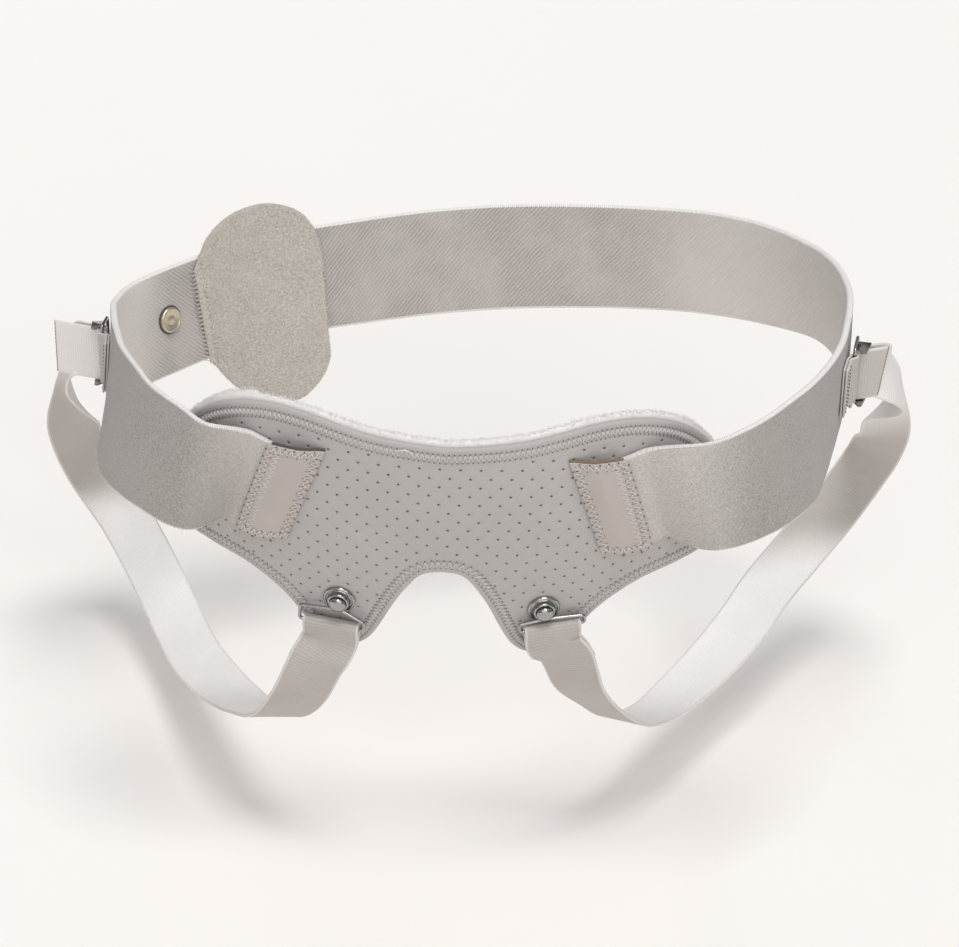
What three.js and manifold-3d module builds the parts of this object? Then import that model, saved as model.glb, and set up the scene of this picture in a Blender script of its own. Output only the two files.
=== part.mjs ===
// A double hernia belt: a soft front panel with two lower tabs, two elastic belts sewn to it, a felt closure
// tab, and two leg straps that run from wire hooks on the tabs to adjuster buckles on the belts' outer sides.
// Millimetres, +X to the right as seen from the front, +Y to the back, +Z up.
// The origin is the middle of the waist loop, at the belts' mid-height.
import * as THREE from "three";
import { mergeVertices } from "three/addons/utils/BufferGeometryUtils.js";
import Module from "manifold-3d";

const wasm = await Module();
wasm.setup();

// Driving sizes
const clearance = 0.3;
const waist = { halfWidth: 166, halfDepth: 126 };
const webbing = { width: 50, thickness: 3 };
const tape = { width: 25, thickness: 1.5 };
const panel = {
  middle: -11.5,
  halfSpan: 132,
  rise: 44,
  drop: 84,
  thickness: 3,
  bendRadius: 245,
  tuckRadius: 286,
  tuckStart: 20,
  wingStart: 78,
  wingRadius: 150,
};
const lining = { thickness: 3, topMargin: 1.6, sideMargin: 0.4 };
const patch = { thickness: 1.4, flatShare: 0.5, footShare: 0.86 };
const felt = { length: 65, height: 104, thickness: 2.4, lap: 6 };
const rivet = { radius: 5.6, height: 1.6, fromEnd: 23.5, lift: 1 };
const eyelet = { out: 46.5, down: 52.5, outerRadius: 7.2, innerRadius: 5, height: 1.3 };
const wire = { radius: 0.8 };
const stud = { postRadius: 2.9, domeRadius: 3.8, domeHeight: 2.4 };
const hook = { barLength: 28.6, loopRadius: 4.1, shoulder: 5.5, corner: 1.5 };
hook.loopOffset = eyelet.height + 2 * clearance + wire.radius;
hook.barOffset = wire.radius + tape.thickness + 3 * clearance + (hook.barLength / 2) ** 2 / (2 * panel.bendRadius);
stud.neck = hook.loopOffset + wire.radius + clearance;
const legDrop = 153;
const fold = { length: 24, opening: 9, radius: wire.radius + 1.5 * clearance + tape.thickness / 2 };
const buckle = { height: 27.8, reach: 6.5, corner: 1.6, wireOut: 3.4, barRadius: 1, barOut: 5 };
const plate = { thickness: 0.5, rear: 4.2, front: 7.5, inner: 1.6, outer: 5 };
const seatSteps = [-8, -4, 0, 11];
const loopTape = { width: 24, thickness: 1, sewn: 11 };

// Belt stations, from the back end to the free run beside the patch. across, depth and lift are shares of the
// waist's half width, its half depth and the webbing's width; lean tips the top edge outwards, in degrees.
const rightBelt = [
  { across: -0.68, depth: 0.55, lift: 0.0, lean: 12 },
  { across: -0.53, depth: 0.65, lift: 0.02, lean: 14 },
  { across: -0.35, depth: 0.74, lift: 0.04, lean: 17 },
  { across: -0.14, depth: 0.83, lift: 0.06, lean: 20 },
  { across: 0.08, depth: 0.91, lift: 0.05, lean: 20 },
  { across: 0.28, depth: 0.955, lift: 0.03, lean: 17 },
  { across: 0.47, depth: 0.94, lift: 0.06, lean: 13 },
  { across: 0.64, depth: 0.86, lift: 0.14, lean: 10 },
  { across: 0.8, depth: 0.71, lift: 0.24, lean: 3 },
  { across: 0.925, depth: 0.53, lift: 0.32, lean: -6 },
  { across: 0.985, depth: 0.32, lift: 0.38, lean: -5 },
  { across: 1.0, depth: 0.1, lift: 0.4, lean: -2 },
  { across: 0.98, depth: -0.13, lift: 0.4, lean: 0 },
  { across: 0.95, depth: -0.34, lift: 0.4, lean: -1 },
  { across: 0.905, depth: -0.54, lift: 0.4, lean: -7 },
  { across: 0.84, depth: -0.73, lift: 0.38, lean: -17 },
  { across: 0.74, depth: -0.875, lift: 0.32, lean: -17 },
  { across: 0.62, depth: -0.935, lift: 0.22, lean: -9 },
];
const leftBelt = [
  { across: -0.765, depth: 0.465, lift: -0.02, lean: 12 },
  { across: -0.86, depth: 0.35, lift: -0.04, lean: 14 },
  { across: -0.94, depth: 0.22, lift: -0.03, lean: 12 },
  { across: -0.985, depth: 0.08, lift: 0.0, lean: 6 },
  { across: -0.99, depth: -0.07, lift: 0.06, lean: 0 },
  { across: -0.985, depth: -0.23, lift: 0.11, lean: -6 },
  { across: -0.97, depth: -0.4, lift: 0.17, lean: -12 },
  { across: -0.94, depth: -0.57, lift: 0.23, lean: -20 },
  { across: -0.895, depth: -0.73, lift: 0.27, lean: -24 },
  { across: -0.82, depth: -0.85, lift: 0.26, lean: -24 },
  { across: -0.725, depth: -0.93, lift: 0.19, lean: -14 },
];

// Panel outline, the same on both sides. out is a share of the half span, up of the rise, down of the drop.
const topEdge = [
  { out: 0, up: 0.74 },
  { out: 0.15, up: 0.78 },
  { out: 0.27, up: 0.83 },
  { out: 0.37, up: 0.9 },
  { out: 0.48, up: 0.975 },
  { out: 0.6, up: 1 },
  { out: 0.7, up: 0.95 },
  { out: 0.8, up: 0.82 },
  { out: 0.88, up: 0.64 },
  { out: 0.95, up: 0.4 },
  { out: 1, up: 0.12 },
];
const bottomEdge = [
  { out: 0, down: 0.375 },
  { out: 0.07, down: 0.4 },
  { out: 0.12, down: 0.5 },
  { out: 0.165, down: 0.625 },
  { out: 0.205, down: 0.765 },
  { out: 0.25, down: 0.9 },
  { out: 0.3, down: 0.97 },
  { out: 0.37, down: 1 },
  { out: 0.44, down: 0.94 },
  { out: 0.49, down: 0.81 },
  { out: 0.53, down: 0.7 },
  { out: 0.6, down: 0.585 },
  { out: 0.7, down: 0.49 },
  { out: 0.85, down: 0.44 },
  { out: 0.95, down: 0.41 },
  { out: 1, down: 0.3 },
];
// Patch corners on the panel: out is a share of the half span, up of the webbing's width.
const patchCorners = {
  innerTop: { out: 0.394, up: 0.53 },
  outerTop: { out: 0.58, up: 0.55 },
  outerBottom: { out: 0.697, up: -0.39 },
  innerBottom: { out: 0.527, up: -0.44 },
};
// Outline of the closure tab: along is a share of its length from the sewn end, above and below of its height.
const tabOutline = [
  { along: 0, above: 0.19, below: 0.25 },
  { along: 0.06, above: 0.24, below: 0.29 },
  { along: 0.14, above: 0.305, below: 0.37 },
  { along: 0.26, above: 0.355, below: 0.45 },
  { along: 0.42, above: 0.39, below: 0.51 },
  { along: 0.6, above: 0.395, below: 0.54 },
  { along: 0.76, above: 0.365, below: 0.53 },
  { along: 0.88, above: 0.315, below: 0.48 },
  { along: 0.96, above: 0.24, below: 0.42 },
  { along: 1, above: 0.16, below: 0.36 },
];
// Leg strap routes between buckle and hook. across, depth and height are shares of the waist's half width, its
// half depth and the straps' drop; sideX, sideY and sideZ point along the tape's width, towards its outer edge.
const rightLeg = [
  { across: 1.127, depth: -0.016, height: 0.059, sideX: -0.18, sideY: 0.64, sideZ: 0.75 },
  { across: 1.157, depth: 0.151, height: -0.046, sideX: -0.12, sideY: 0.67, sideZ: 0.73 },
  { across: 1.133, depth: 0.302, height: -0.163, sideX: 0.67, sideY: 0.57, sideZ: 0.47 },
  { across: 1.151, depth: 0.421, height: -0.307, sideX: 0.97, sideY: 0.18, sideZ: 0.2 },
  { across: 1.151, depth: 0.571, height: -0.431, sideX: 0.97, sideY: -0.16, sideZ: -0.17 },
  { across: 1.127, depth: 0.69, height: -0.569, sideX: 0.8, sideY: -0.45, sideZ: -0.4 },
  { across: 1.042, depth: 0.635, height: -0.706, sideX: 0.81, sideY: -0.4, sideZ: -0.43 },
  { across: 0.946, depth: 0.5, height: -0.791, sideX: 0.8, sideY: -0.37, sideZ: -0.47 },
  { across: 0.855, depth: 0.333, height: -0.85, sideX: 0.82, sideY: -0.37, sideZ: -0.44 },
  { across: 0.777, depth: 0.159, height: -0.908, sideX: 0.85, sideY: -0.44, sideZ: -0.31 },
  { across: 0.693, depth: -0.016, height: -0.948, sideX: 0.86, sideY: -0.49, sideZ: -0.16 },
  { across: 0.608, depth: -0.198, height: -0.961, sideX: 0.87, sideY: -0.5, sideZ: -0.01 },
  { across: 0.53, depth: -0.381, height: -0.948, sideX: 0.86, sideY: -0.49, sideZ: 0.12 },
  { across: 0.446, depth: -0.556, height: -0.889, sideX: 0.86, sideY: -0.49, sideZ: 0.13 },
  { across: 0.373, depth: -0.69, height: -0.778, sideX: 0.86, sideY: -0.49, sideZ: 0.12 },
  { across: 0.307, depth: -0.81, height: -0.647, sideX: 0.9, sideY: -0.39, sideZ: 0.21 },
  { across: 0.265, depth: -0.865, height: -0.51, sideX: 0.95, sideY: -0.14, sideZ: 0.25 },
];
const leftLeg = [
  { across: -1.11, depth: 0.13, height: -0.03, sideX: 0.02, sideY: 0.55, sideZ: 0.83 },
  { across: -1.14, depth: 0.23, height: -0.14, sideX: -0.05, sideY: 0.78, sideZ: 0.6 },
  { across: -1.14, depth: 0.35, height: -0.26, sideX: -0.4, sideY: 0.74, sideZ: 0.52 },
  { across: -1.14, depth: 0.46, height: -0.38, sideX: -0.86, sideY: 0.4, sideZ: 0.3 },
  { across: -1.15, depth: 0.57, height: -0.51, sideX: -0.95, sideY: -0.22, sideZ: -0.15 },
  { across: -1.11, depth: 0.65, height: -0.68, sideX: -0.85, sideY: -0.4, sideZ: -0.36 },
  { across: -1.01, depth: 0.62, height: -0.84, sideX: -0.84, sideY: -0.37, sideZ: -0.4 },
  { across: -0.91, depth: 0.44, height: -0.95, sideX: -0.83, sideY: -0.37, sideZ: -0.42 },
  { across: -0.83, depth: 0.2, height: -1, sideX: -0.82, sideY: -0.4, sideZ: -0.42 },
  { across: -0.765, depth: -0.05, height: -0.99, sideX: -0.83, sideY: -0.43, sideZ: -0.36 },
  { across: -0.69, depth: -0.3, height: -0.95, sideX: -0.85, sideY: -0.48, sideZ: -0.24 },
  { across: -0.635, depth: -0.46, height: -0.915, sideX: -0.86, sideY: -0.49, sideZ: -0.08 },
  { across: -0.575, depth: -0.63, height: -0.865, sideX: -0.87, sideY: -0.48, sideZ: 0.1 },
  { across: -0.5, depth: -0.79, height: -0.8, sideX: -0.9, sideY: -0.38, sideZ: 0.22 },
  { across: -0.44, depth: -0.885, height: -0.68, sideX: -0.94, sideY: -0.15, sideZ: 0.28 },
  { across: -0.393, depth: -0.905, height: -0.55, sideX: -0.98, sideY: 0.05, sideZ: 0.2 },
];
// The two sides differ in how far along the belt the buckle sits, in the free end, and in how the hook hangs from
// its stud. barOut and barDown are measured from the stud, and swing lifts the bar's outer end, in degrees.
const sides = {
  left: {
    sign: -1,
    belt: leftBelt,
    leg: leftLeg,
    buckleAt: 0.27,
    endLength: 24,
    endTurn: 24,
    endSlant: 0,
    barOut: 2.5,
    barDown: 13.6,
    swing: 4,
  },
  right: {
    sign: 1,
    belt: rightBelt,
    leg: rightLeg,
    buckleAt: 0.688,
    endLength: 13,
    endTurn: 30,
    endSlant: 5,
    barOut: 3,
    barDown: 9.5,
    swing: 8,
  },
};

// Colours and finishes
const finishes = {
  cover: { color: 0xafaba5, roughness: 0.62, metalness: 0 },
  fleece: { color: 0xe4e0da, roughness: 0.95, metalness: 0 },
  webbing: { color: 0xbeb8b2, roughness: 0.9, metalness: 0 },
  felt: { color: 0xbdb7ac, roughness: 0.97, metalness: 0 },
  patch: { color: 0xb9b1aa, roughness: 0.7, metalness: 0 },
  tape: { color: 0xb2aca6, roughness: 0.85, metalness: 0 },
  chrome: { color: 0xd6d6d8, roughness: 0.16, metalness: 1 },
  brass: { color: 0xc4b68e, roughness: 0.35, metalness: 1 },
};
const group = new THREE.Group();

function add(name, geometry, finish) {
  const mesh = new THREE.Mesh(geometry, new THREE.MeshStandardMaterial(finishes[finish]));
  mesh.name = name;
  group.add(mesh);
  return mesh;
}

const up = new THREE.Vector3(0, 0, 1);
const vector = (x, y, z) => new THREE.Vector3(x, y, z);
const degrees = THREE.MathUtils.degToRad;
const easeIn = (x) => THREE.MathUtils.smoothstep(x, 0, 1);

// A smooth value between the rows of a table, by a cubic whose slope at each row is that of its neighbours.
function along(table, key, value, x) {
  const last = table.length - 1;
  let i = 0;
  while (i < last - 1 && x > table[i + 1][key]) i++;
  const slope = (k) => {
    const a = table[Math.max(k - 1, 0)];
    const b = table[Math.min(k + 1, last)];
    return (b[value] - a[value]) / (b[key] - a[key]);
  };
  const [a, b] = [table[i], table[i + 1]];
  const span = b[key] - a[key];
  const t = THREE.MathUtils.clamp((x - a[key]) / span, 0, 1);
  const rise = b[value] - a[value];
  const bow = (slope(i) * span - rise) * (1 - t) + (rise - slope(i + 1) * span) * t;
  return a[value] + rise * t + t * (1 - t) * bow;
}

// A closed solid between two grids of points, sewn together round the border.
function slab(front, back, columns, rows) {
  const positions = [];
  const index = [];
  const id = (layer, i, j) => (layer * (columns + 1) + i) * (rows + 1) + j;
  [front, back].forEach((grid) => {
    for (let i = 0; i <= columns; i++) {
      for (let j = 0; j <= rows; j++) positions.push(...grid(i, j).toArray());
    }
  });
  const quad = (a, b, c, d) => index.push(a, b, c, a, c, d);
  for (let i = 0; i < columns; i++) {
    for (let j = 0; j < rows; j++) {
      quad(id(0, i, j), id(0, i + 1, j), id(0, i + 1, j + 1), id(0, i, j + 1));
      quad(id(1, i, j), id(1, i, j + 1), id(1, i + 1, j + 1), id(1, i + 1, j));
    }
    quad(id(0, i, 0), id(1, i, 0), id(1, i + 1, 0), id(0, i + 1, 0));
    quad(id(0, i, rows), id(0, i + 1, rows), id(1, i + 1, rows), id(1, i, rows));
  }
  for (let j = 0; j < rows; j++) {
    quad(id(0, 0, j), id(0, 0, j + 1), id(1, 0, j + 1), id(1, 0, j));
    quad(id(0, columns, j), id(1, columns, j), id(1, columns, j + 1), id(0, columns, j + 1));
  }
  const geometry = new THREE.BufferGeometry();
  geometry.setAttribute("position", new THREE.Float32BufferAttribute(positions, 3));
  geometry.setIndex(index);
  return facingOut(geometry);
}

// Turns the faces round where the solid's volume comes out negative.
function facingOut(geometry) {
  const p = geometry.getAttribute("position");
  const index = geometry.getIndex().array;
  const [a, b, c] = [vector(), vector(), vector()];
  let volume = 0;
  for (let i = 0; i < index.length; i += 3) {
    a.fromBufferAttribute(p, index[i]);
    b.fromBufferAttribute(p, index[i + 1]);
    c.fromBufferAttribute(p, index[i + 2]);
    volume += a.dot(b.cross(c));
  }
  if (volume < 0) {
    for (let i = 0; i < index.length; i += 3) [index[i], index[i + 1]] = [index[i + 1], index[i]];
  }
  geometry.computeVertexNormals();
  return geometry;
}

// The front face of the panel: bent round the body across, and tucked under it below the belts.
function onPanel(out, height, offset = 0) {
  const turn = out / panel.bendRadius;
  const level = vector(Math.sin(turn), -Math.cos(turn), 0);
  const wing = Math.max(0, Math.abs(out) - panel.wingStart) ** 2 / (2 * panel.wingRadius);
  const tuck = Math.max(0, (panel.tuckStart - height) / panel.tuckRadius);
  const inward = panel.tuckRadius * (1 - Math.cos(tuck));
  const z = tuck > 0 ? panel.tuckStart - panel.tuckRadius * Math.sin(tuck) : height;
  const normal = level.clone().multiplyScalar(Math.cos(tuck)).addScaledVector(up, -Math.sin(tuck));
  const point = vector(panel.middle, panel.bendRadius - waist.halfDepth, z)
    .addScaledVector(level, panel.bendRadius - inward - wing)
    .addScaledVector(normal, offset);
  return { point, normal };
}

// One layer of the panel, from a front offset down through its thickness.
function panelLayer(frontOffset, thickness, topMargin, sideMargin) {
  const columns = 60;
  const rows = 5;
  const span = panel.halfSpan + sideMargin;
  const place = (offset) => (i, j) => {
    const share = (2 * i) / columns - 1;
    const ends = Math.sin((share * Math.PI) / 2);
    const out = THREE.MathUtils.lerp(share, ends, 0.25);
    const top = along(topEdge, "out", "up", Math.abs(out)) * panel.rise + topMargin;
    const bottom = -along(bottomEdge, "out", "down", Math.abs(out)) * panel.drop - sideMargin;
    return onPanel(out * span, THREE.MathUtils.lerp(bottom, top, j / rows), offset).point;
  };
  return slab(place(frontOffset), place(frontOffset - thickness), columns, rows);
}

// A flat band along stations that give its middle line and the direction of its width. facing is 1 or -1 and
// picks the face that its normal stands on.
class Band {
  constructor(stations, facing = 1) {
    this.middle = new THREE.CatmullRomCurve3(stations.map((s) => s.centre), false, "centripetal");
    this.middle.arcLengthDivisions = stations.length * 24;
    this.width = new THREE.CatmullRomCurve3(stations.map((s) => s.side), false, "catmullrom");
    this.cup = new THREE.CatmullRomCurve3(stations.map((s) => vector(s.cup ?? 0, 0, 0)), false, "catmullrom");
    this.length = this.middle.getLength();
    this.facing = facing;
  }

  // The band's own axes at a share of its stations.
  at(t) {
    const tangent = this.middle.getTangent(t);
    const side = this.width.getPoint(t);
    side.addScaledVector(tangent, -side.dot(tangent)).normalize();
    const normal = vector().crossVectors(tangent, side).multiplyScalar(this.facing);
    return { centre: this.middle.getPoint(t), tangent, side, normal, cup: this.cup.getPoint(t).x };
  }

  // The same at a distance along the band.
  along(distance) {
    return this.at(this.middle.getUtoTmapping(0, distance));
  }

  // A point at given axes, a distance across the width and a distance off the middle surface.
  static point(axes, across, off) {
    const sag = (-axes.cup * across * across) / (2 * panel.tuckRadius);
    return axes.centre.clone().addScaledVector(axes.side, across).addScaledVector(axes.normal, off + sag);
  }
}

// Each belt: its stations, then the stretch that is seated on the panel under the patch.
function beltBand({ sign, belt }) {
  const places = belt.map((s) => vector(s.across * waist.halfWidth, s.depth * waist.halfDepth, s.lift * webbing.width));
  const path = new THREE.CatmullRomCurve3(places, false, "centripetal");
  const stations = belt.map((s, i) => {
    const outward = vector().crossVectors(up, path.getTangent(i / (belt.length - 1)));
    outward.multiplyScalar(sign).setZ(0).normalize();
    const side = up.clone().multiplyScalar(Math.cos(degrees(s.lean)));
    return { centre: places[i], side: side.addScaledVector(outward, Math.sin(degrees(s.lean))) };
  });
  const seat = 1.5 * clearance + webbing.thickness / 2;
  const top = cornerOnPanel("outerTop", sign);
  const bottom = cornerOnPanel("outerBottom", sign);
  const tall = Math.hypot(top.out - bottom.out, top.up - bottom.up);
  const rise = { out: (top.out - bottom.out) / tall, up: (top.up - bottom.up) / tall };
  seatSteps.forEach((step) => {
    const out = (top.out + bottom.out) / 2 - rise.up * sign * step;
    const height = (top.up + bottom.up) / 2 + rise.out * sign * step;
    const centre = onPanel(out, height, seat).point;
    const side = onPanel(out + rise.out, height + rise.up, seat).point.sub(centre).normalize();
    stations.push({ centre, side, cup: 1 });
  });
  return new Band(stations, -sign);
}

function cornerOnPanel(name, sign) {
  const corner = patchCorners[name];
  return { out: corner.out * panel.halfSpan * sign, up: corner.up * webbing.width };
}

function beltSolid(band, columns) {
  const rows = 4;
  const half = webbing.thickness / 2;
  const place = (off) => (i, j) =>
    Band.point(band.along((i / columns) * band.length), (j / rows - 0.5) * webbing.width, off);
  return slab(place(half), place(-half), columns, rows);
}

// A patch over the belt's end: level over the webbing, then down to the panel at its inner foot.
function patchSolid(sign) {
  const columns = 10;
  const rows = 5;
  const corners = Object.fromEntries(Object.keys(patchCorners).map((name) => [name, cornerOnPanel(name, sign)]));
  const place = (extra) => (i, j) => {
    const s = i / columns;
    const t = j / rows;
    const mix = (key) => {
      const top = THREE.MathUtils.lerp(corners.outerTop[key], corners.innerTop[key], s);
      const bottom = THREE.MathUtils.lerp(corners.outerBottom[key], corners.innerBottom[key], s);
      return THREE.MathUtils.lerp(bottom, top, t);
    };
    const down = easeIn((s - patch.flatShare) / (patch.footShare - patch.flatShare));
    const over = webbing.thickness + 2.5 * clearance;
    return onPanel(mix("out"), mix("up"), THREE.MathUtils.lerp(over, clearance, down) + extra).point;
  };
  return slab(place(patch.thickness), place(0), columns, rows);
}

// The felt tab lies inside both belts' back ends, and is sewn to the left one.
function tabSolid(left, right) {
  const columns = 20;
  const rows = 5;
  const stations = [left.along(felt.lap), left.along(0)];
  for (let travelled = 0; travelled < felt.length; travelled += felt.length / 5) stations.push(right.along(travelled));
  const band = new Band(stations, right.facing);
  const inside = -(webbing.thickness / 2 + clearance);
  const place = (off) => (i, j) => {
    const share = i / columns;
    const above = along(tabOutline, "along", "above", share) * felt.height;
    const below = -along(tabOutline, "along", "below", share) * felt.height;
    return Band.point(band.along(share * felt.length), THREE.MathUtils.lerp(below, above, j / rows), off);
  };
  return slab(place(inside), place(inside - felt.thickness), columns, rows);
}

// A turned piece whose profile gives radius and height, standing on a point along a direction.
function turned(profile, segments, point, direction) {
  const geometry = new THREE.LatheGeometry(profile.map(([r, h]) => new THREE.Vector2(r, h)), segments);
  geometry.deleteAttribute("uv");
  geometry.applyQuaternion(new THREE.Quaternion().setFromUnitVectors(vector(0, 1, 0), direction));
  geometry.translate(point.x, point.y, point.z);
  return facingOut(geometry);
}

// A round wire along a closed, flat loop of points, with its flat side's direction.
function wireLoop(points, normal, radius) {
  const edges = 6;
  const positions = [];
  const index = [];
  const count = points.length;
  points.forEach((centre, i) => {
    const run = points[(i + 1) % count].clone().sub(points[(i + count - 1) % count]);
    const side = vector().crossVectors(run, normal).normalize();
    for (let k = 0; k < edges; k++) {
      const turn = (2 * Math.PI * k) / edges;
      const rim = centre.clone().addScaledVector(side, radius * Math.cos(turn));
      positions.push(...rim.addScaledVector(normal, radius * Math.sin(turn)).toArray());
      const [a, b] = [i * edges + k, i * edges + ((k + 1) % edges)];
      const [c, d] = [((i + 1) % count) * edges + ((k + 1) % edges), ((i + 1) % count) * edges + k];
      index.push(a, b, c, a, c, d);
    }
  });
  const geometry = new THREE.BufferGeometry();
  geometry.setAttribute("position", new THREE.Float32BufferAttribute(positions, 3));
  geometry.setIndex(index);
  return facingOut(geometry);
}

// Rounds the corners of a closed outline, each by its own radius.
function rounded(corners) {
  const count = corners.length;
  return corners.flatMap(({ x, y, radius }, i) => {
    const here = new THREE.Vector2(x, y);
    const ends = [corners[(i + count - 1) % count], corners[(i + 1) % count]].map((other) => {
      const way = new THREE.Vector2(other.x - x, other.y - y);
      return here.clone().add(way.setLength(radius));
    });
    return new THREE.QuadraticBezierCurve(ends[0], here, ends[1]).getPoints(3);
  });
}

// Joins closed solids into one.
function joined(parts) {
  const solids = parts.map((part) => {
    const bare = new THREE.BufferGeometry();
    bare.setAttribute("position", part.getAttribute("position"));
    bare.setIndex(part.getIndex());
    const merged = mergeVertices(bare, 1e-3);
    return new wasm.Manifold(
      new wasm.Mesh({
        numProp: 3,
        vertProperties: merged.getAttribute("position").array,
        triVerts: new Uint32Array(merged.getIndex().array),
      }),
    );
  });
  const mesh = solids.reduce((sum, solid) => sum.add(solid)).getMesh();
  const geometry = new THREE.BufferGeometry();
  geometry.setAttribute("position", new THREE.BufferAttribute(mesh.vertProperties, 3));
  geometry.setIndex(new THREE.BufferAttribute(mesh.triVerts, 1));
  geometry.computeVertexNormals();
  return geometry;
}

// Points of a half turn round a bar, from one side of it over a given direction to the other side.
function halfTurn(centre, first, over, radius) {
  const steps = 4;
  return Array.from({ length: steps + 1 }, (_, k) => {
    const turn = (Math.PI * k) / steps;
    return centre.clone().addScaledVector(first, radius * Math.cos(turn)).addScaledVector(over, radius * Math.sin(turn));
  });
}

// A belt's outer face near a buckle: a function of the distances towards the front, off the belt and across it.
function buckleSeat(band, share) {
  const start = share * band.length;
  return (fore, out, across) => Band.point(band.along(start + fore), across, webbing.thickness / 2 + out);
}

// The buckle's own axes: x towards the front, y off the belt and z upwards, from the belt's outer face.
function buckleAxes(seat) {
  const origin = seat(0, 0, 0);
  const outward = seat(0, 1, 0).sub(origin).normalize();
  const upward = seat(0, 0, 1).sub(origin).normalize();
  const forward = seat(1, 0, 0).sub(origin);
  forward.addScaledVector(outward, -forward.dot(outward)).addScaledVector(upward, -forward.dot(upward)).normalize();
  const at = (fore, out, rise) =>
    origin.clone().addScaledVector(forward, fore).addScaledVector(outward, out).addScaledVector(upward, rise);
  return { at, forward, outward, upward };
}

// The buckle's wire frame, with its two upright bars before and behind the cam's bar.
function buckleFrame({ at, outward }) {
  const half = buckle.height / 2 + wire.radius;
  const corners = [[1, 1], [-1, 1], [-1, -1], [1, -1]].map(([fore, rise]) => {
    return { x: fore * buckle.reach, y: rise * half, radius: buckle.corner };
  });
  return wireLoop(rounded(corners).map(({ x, y }) => at(x, buckle.wireOut, y)), outward, wire.radius);
}

// The cam's upright bar with a three-cornered plate at each end.
function buckleLever({ at, forward, outward, upward }) {
  const end = tape.width / 2 + 2 * clearance + plate.thickness;
  const bar = new THREE.CylinderGeometry(buckle.barRadius, buckle.barRadius, 2 * end, 12);
  bar.rotateX(Math.PI / 2);
  const outline = new THREE.Shape([
    new THREE.Vector2(-plate.rear, -plate.inner),
    new THREE.Vector2(plate.inner, -plate.inner),
    new THREE.Vector2(plate.front, plate.outer * 0.4),
    new THREE.Vector2(plate.front * 0.9, plate.outer * 0.68),
    new THREE.Vector2(-plate.rear, plate.outer),
  ]);
  const plates = [-end, end - plate.thickness].map((height) => {
    const one = new THREE.ExtrudeGeometry(outline, { depth: plate.thickness, bevelEnabled: false });
    return one.deleteAttribute("uv").deleteAttribute("normal").translate(0, 0, height);
  });
  const geometry = joined([bar, ...plates]);
  const origin = at(0, buckle.barOut, 0);
  const facing = Math.sign(vector().crossVectors(forward, outward).dot(upward));
  const axes = new THREE.Matrix4().makeBasis(forward, outward, upward.clone().multiplyScalar(facing));
  return geometry.applyMatrix4(axes.setPosition(origin));
}

// The folded tape that holds the buckle: sewn to the belt in two layers, round the frame's front bar.
function loopSolid(seat, { at, upward }) {
  const low = clearance + loopTape.thickness / 2;
  const high = low + loopTape.thickness + clearance;
  const radius = wire.radius + clearance + loopTape.thickness / 2;
  const start = buckle.reach + 2.5 * radius;
  const far = start + loopTape.sewn;
  const across = (fore, out) => seat(fore, out, 1).sub(seat(fore, out, 0));
  const sewn = (fore, out) => ({ centre: seat(fore, out, 0), side: across(fore, out) });
  const steps = [1, 0.75, 0.5, 0.25, 0].map((share) => start + loopTape.sewn * share);
  const round = [-80, -125, -180, -235, -280].map((angle) => {
    const fore = buckle.reach + radius * Math.cos(degrees(angle));
    return { centre: at(fore, buckle.wireOut + radius * Math.sin(degrees(angle)), 0), side: upward };
  });
  const route = [...steps.map((fore) => sewn(fore, low)), ...round, ...steps.reverse().map((fore) => sewn(fore, high))];
  return bandSolid(new Band(route), loopTape, (route.length - 1) * 2);
}

function bandSolid(band, { width, thickness }, columns, slant = () => 0) {
  const place = (off) => (i, j) => {
    const across = (j - 0.5) * width;
    return Band.point(band.at(i / columns + slant(i / columns, across)), across, off);
  };
  return slab(place(thickness / 2), place(-thickness / 2), columns, 1);
}

// The hook's flat plane, from the stud's post to its bar. at gives a point by its distances outwards and down from
// the post, turned by the hook's swing.
function hookAxes(side) {
  const turn = degrees(side.swing);
  const post = onPanel(side.sign * eyelet.out, -eyelet.down, hook.loopOffset).point;
  const beside = onPanel(side.sign * (eyelet.out + 1), -eyelet.down, hook.loopOffset).point;
  const hung = onPanel(side.sign * eyelet.out, -(eyelet.down + side.barDown), hook.barOffset).point;
  const level = beside.sub(post).normalize();
  const down = hung.sub(post);
  down.addScaledVector(level, -down.dot(level)).normalize();
  const outer = level.clone().multiplyScalar(Math.cos(turn)).addScaledVector(down, -Math.sin(turn));
  const lower = down.clone().multiplyScalar(Math.cos(turn)).addScaledVector(level, Math.sin(turn));
  const normal = vector().crossVectors(outer, lower).normalize();
  if (normal.y > 0) normal.negate();
  const at = (out, fall) => post.clone().addScaledVector(outer, out).addScaledVector(lower, fall);
  return { at, outer, lower, normal };
}

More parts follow.
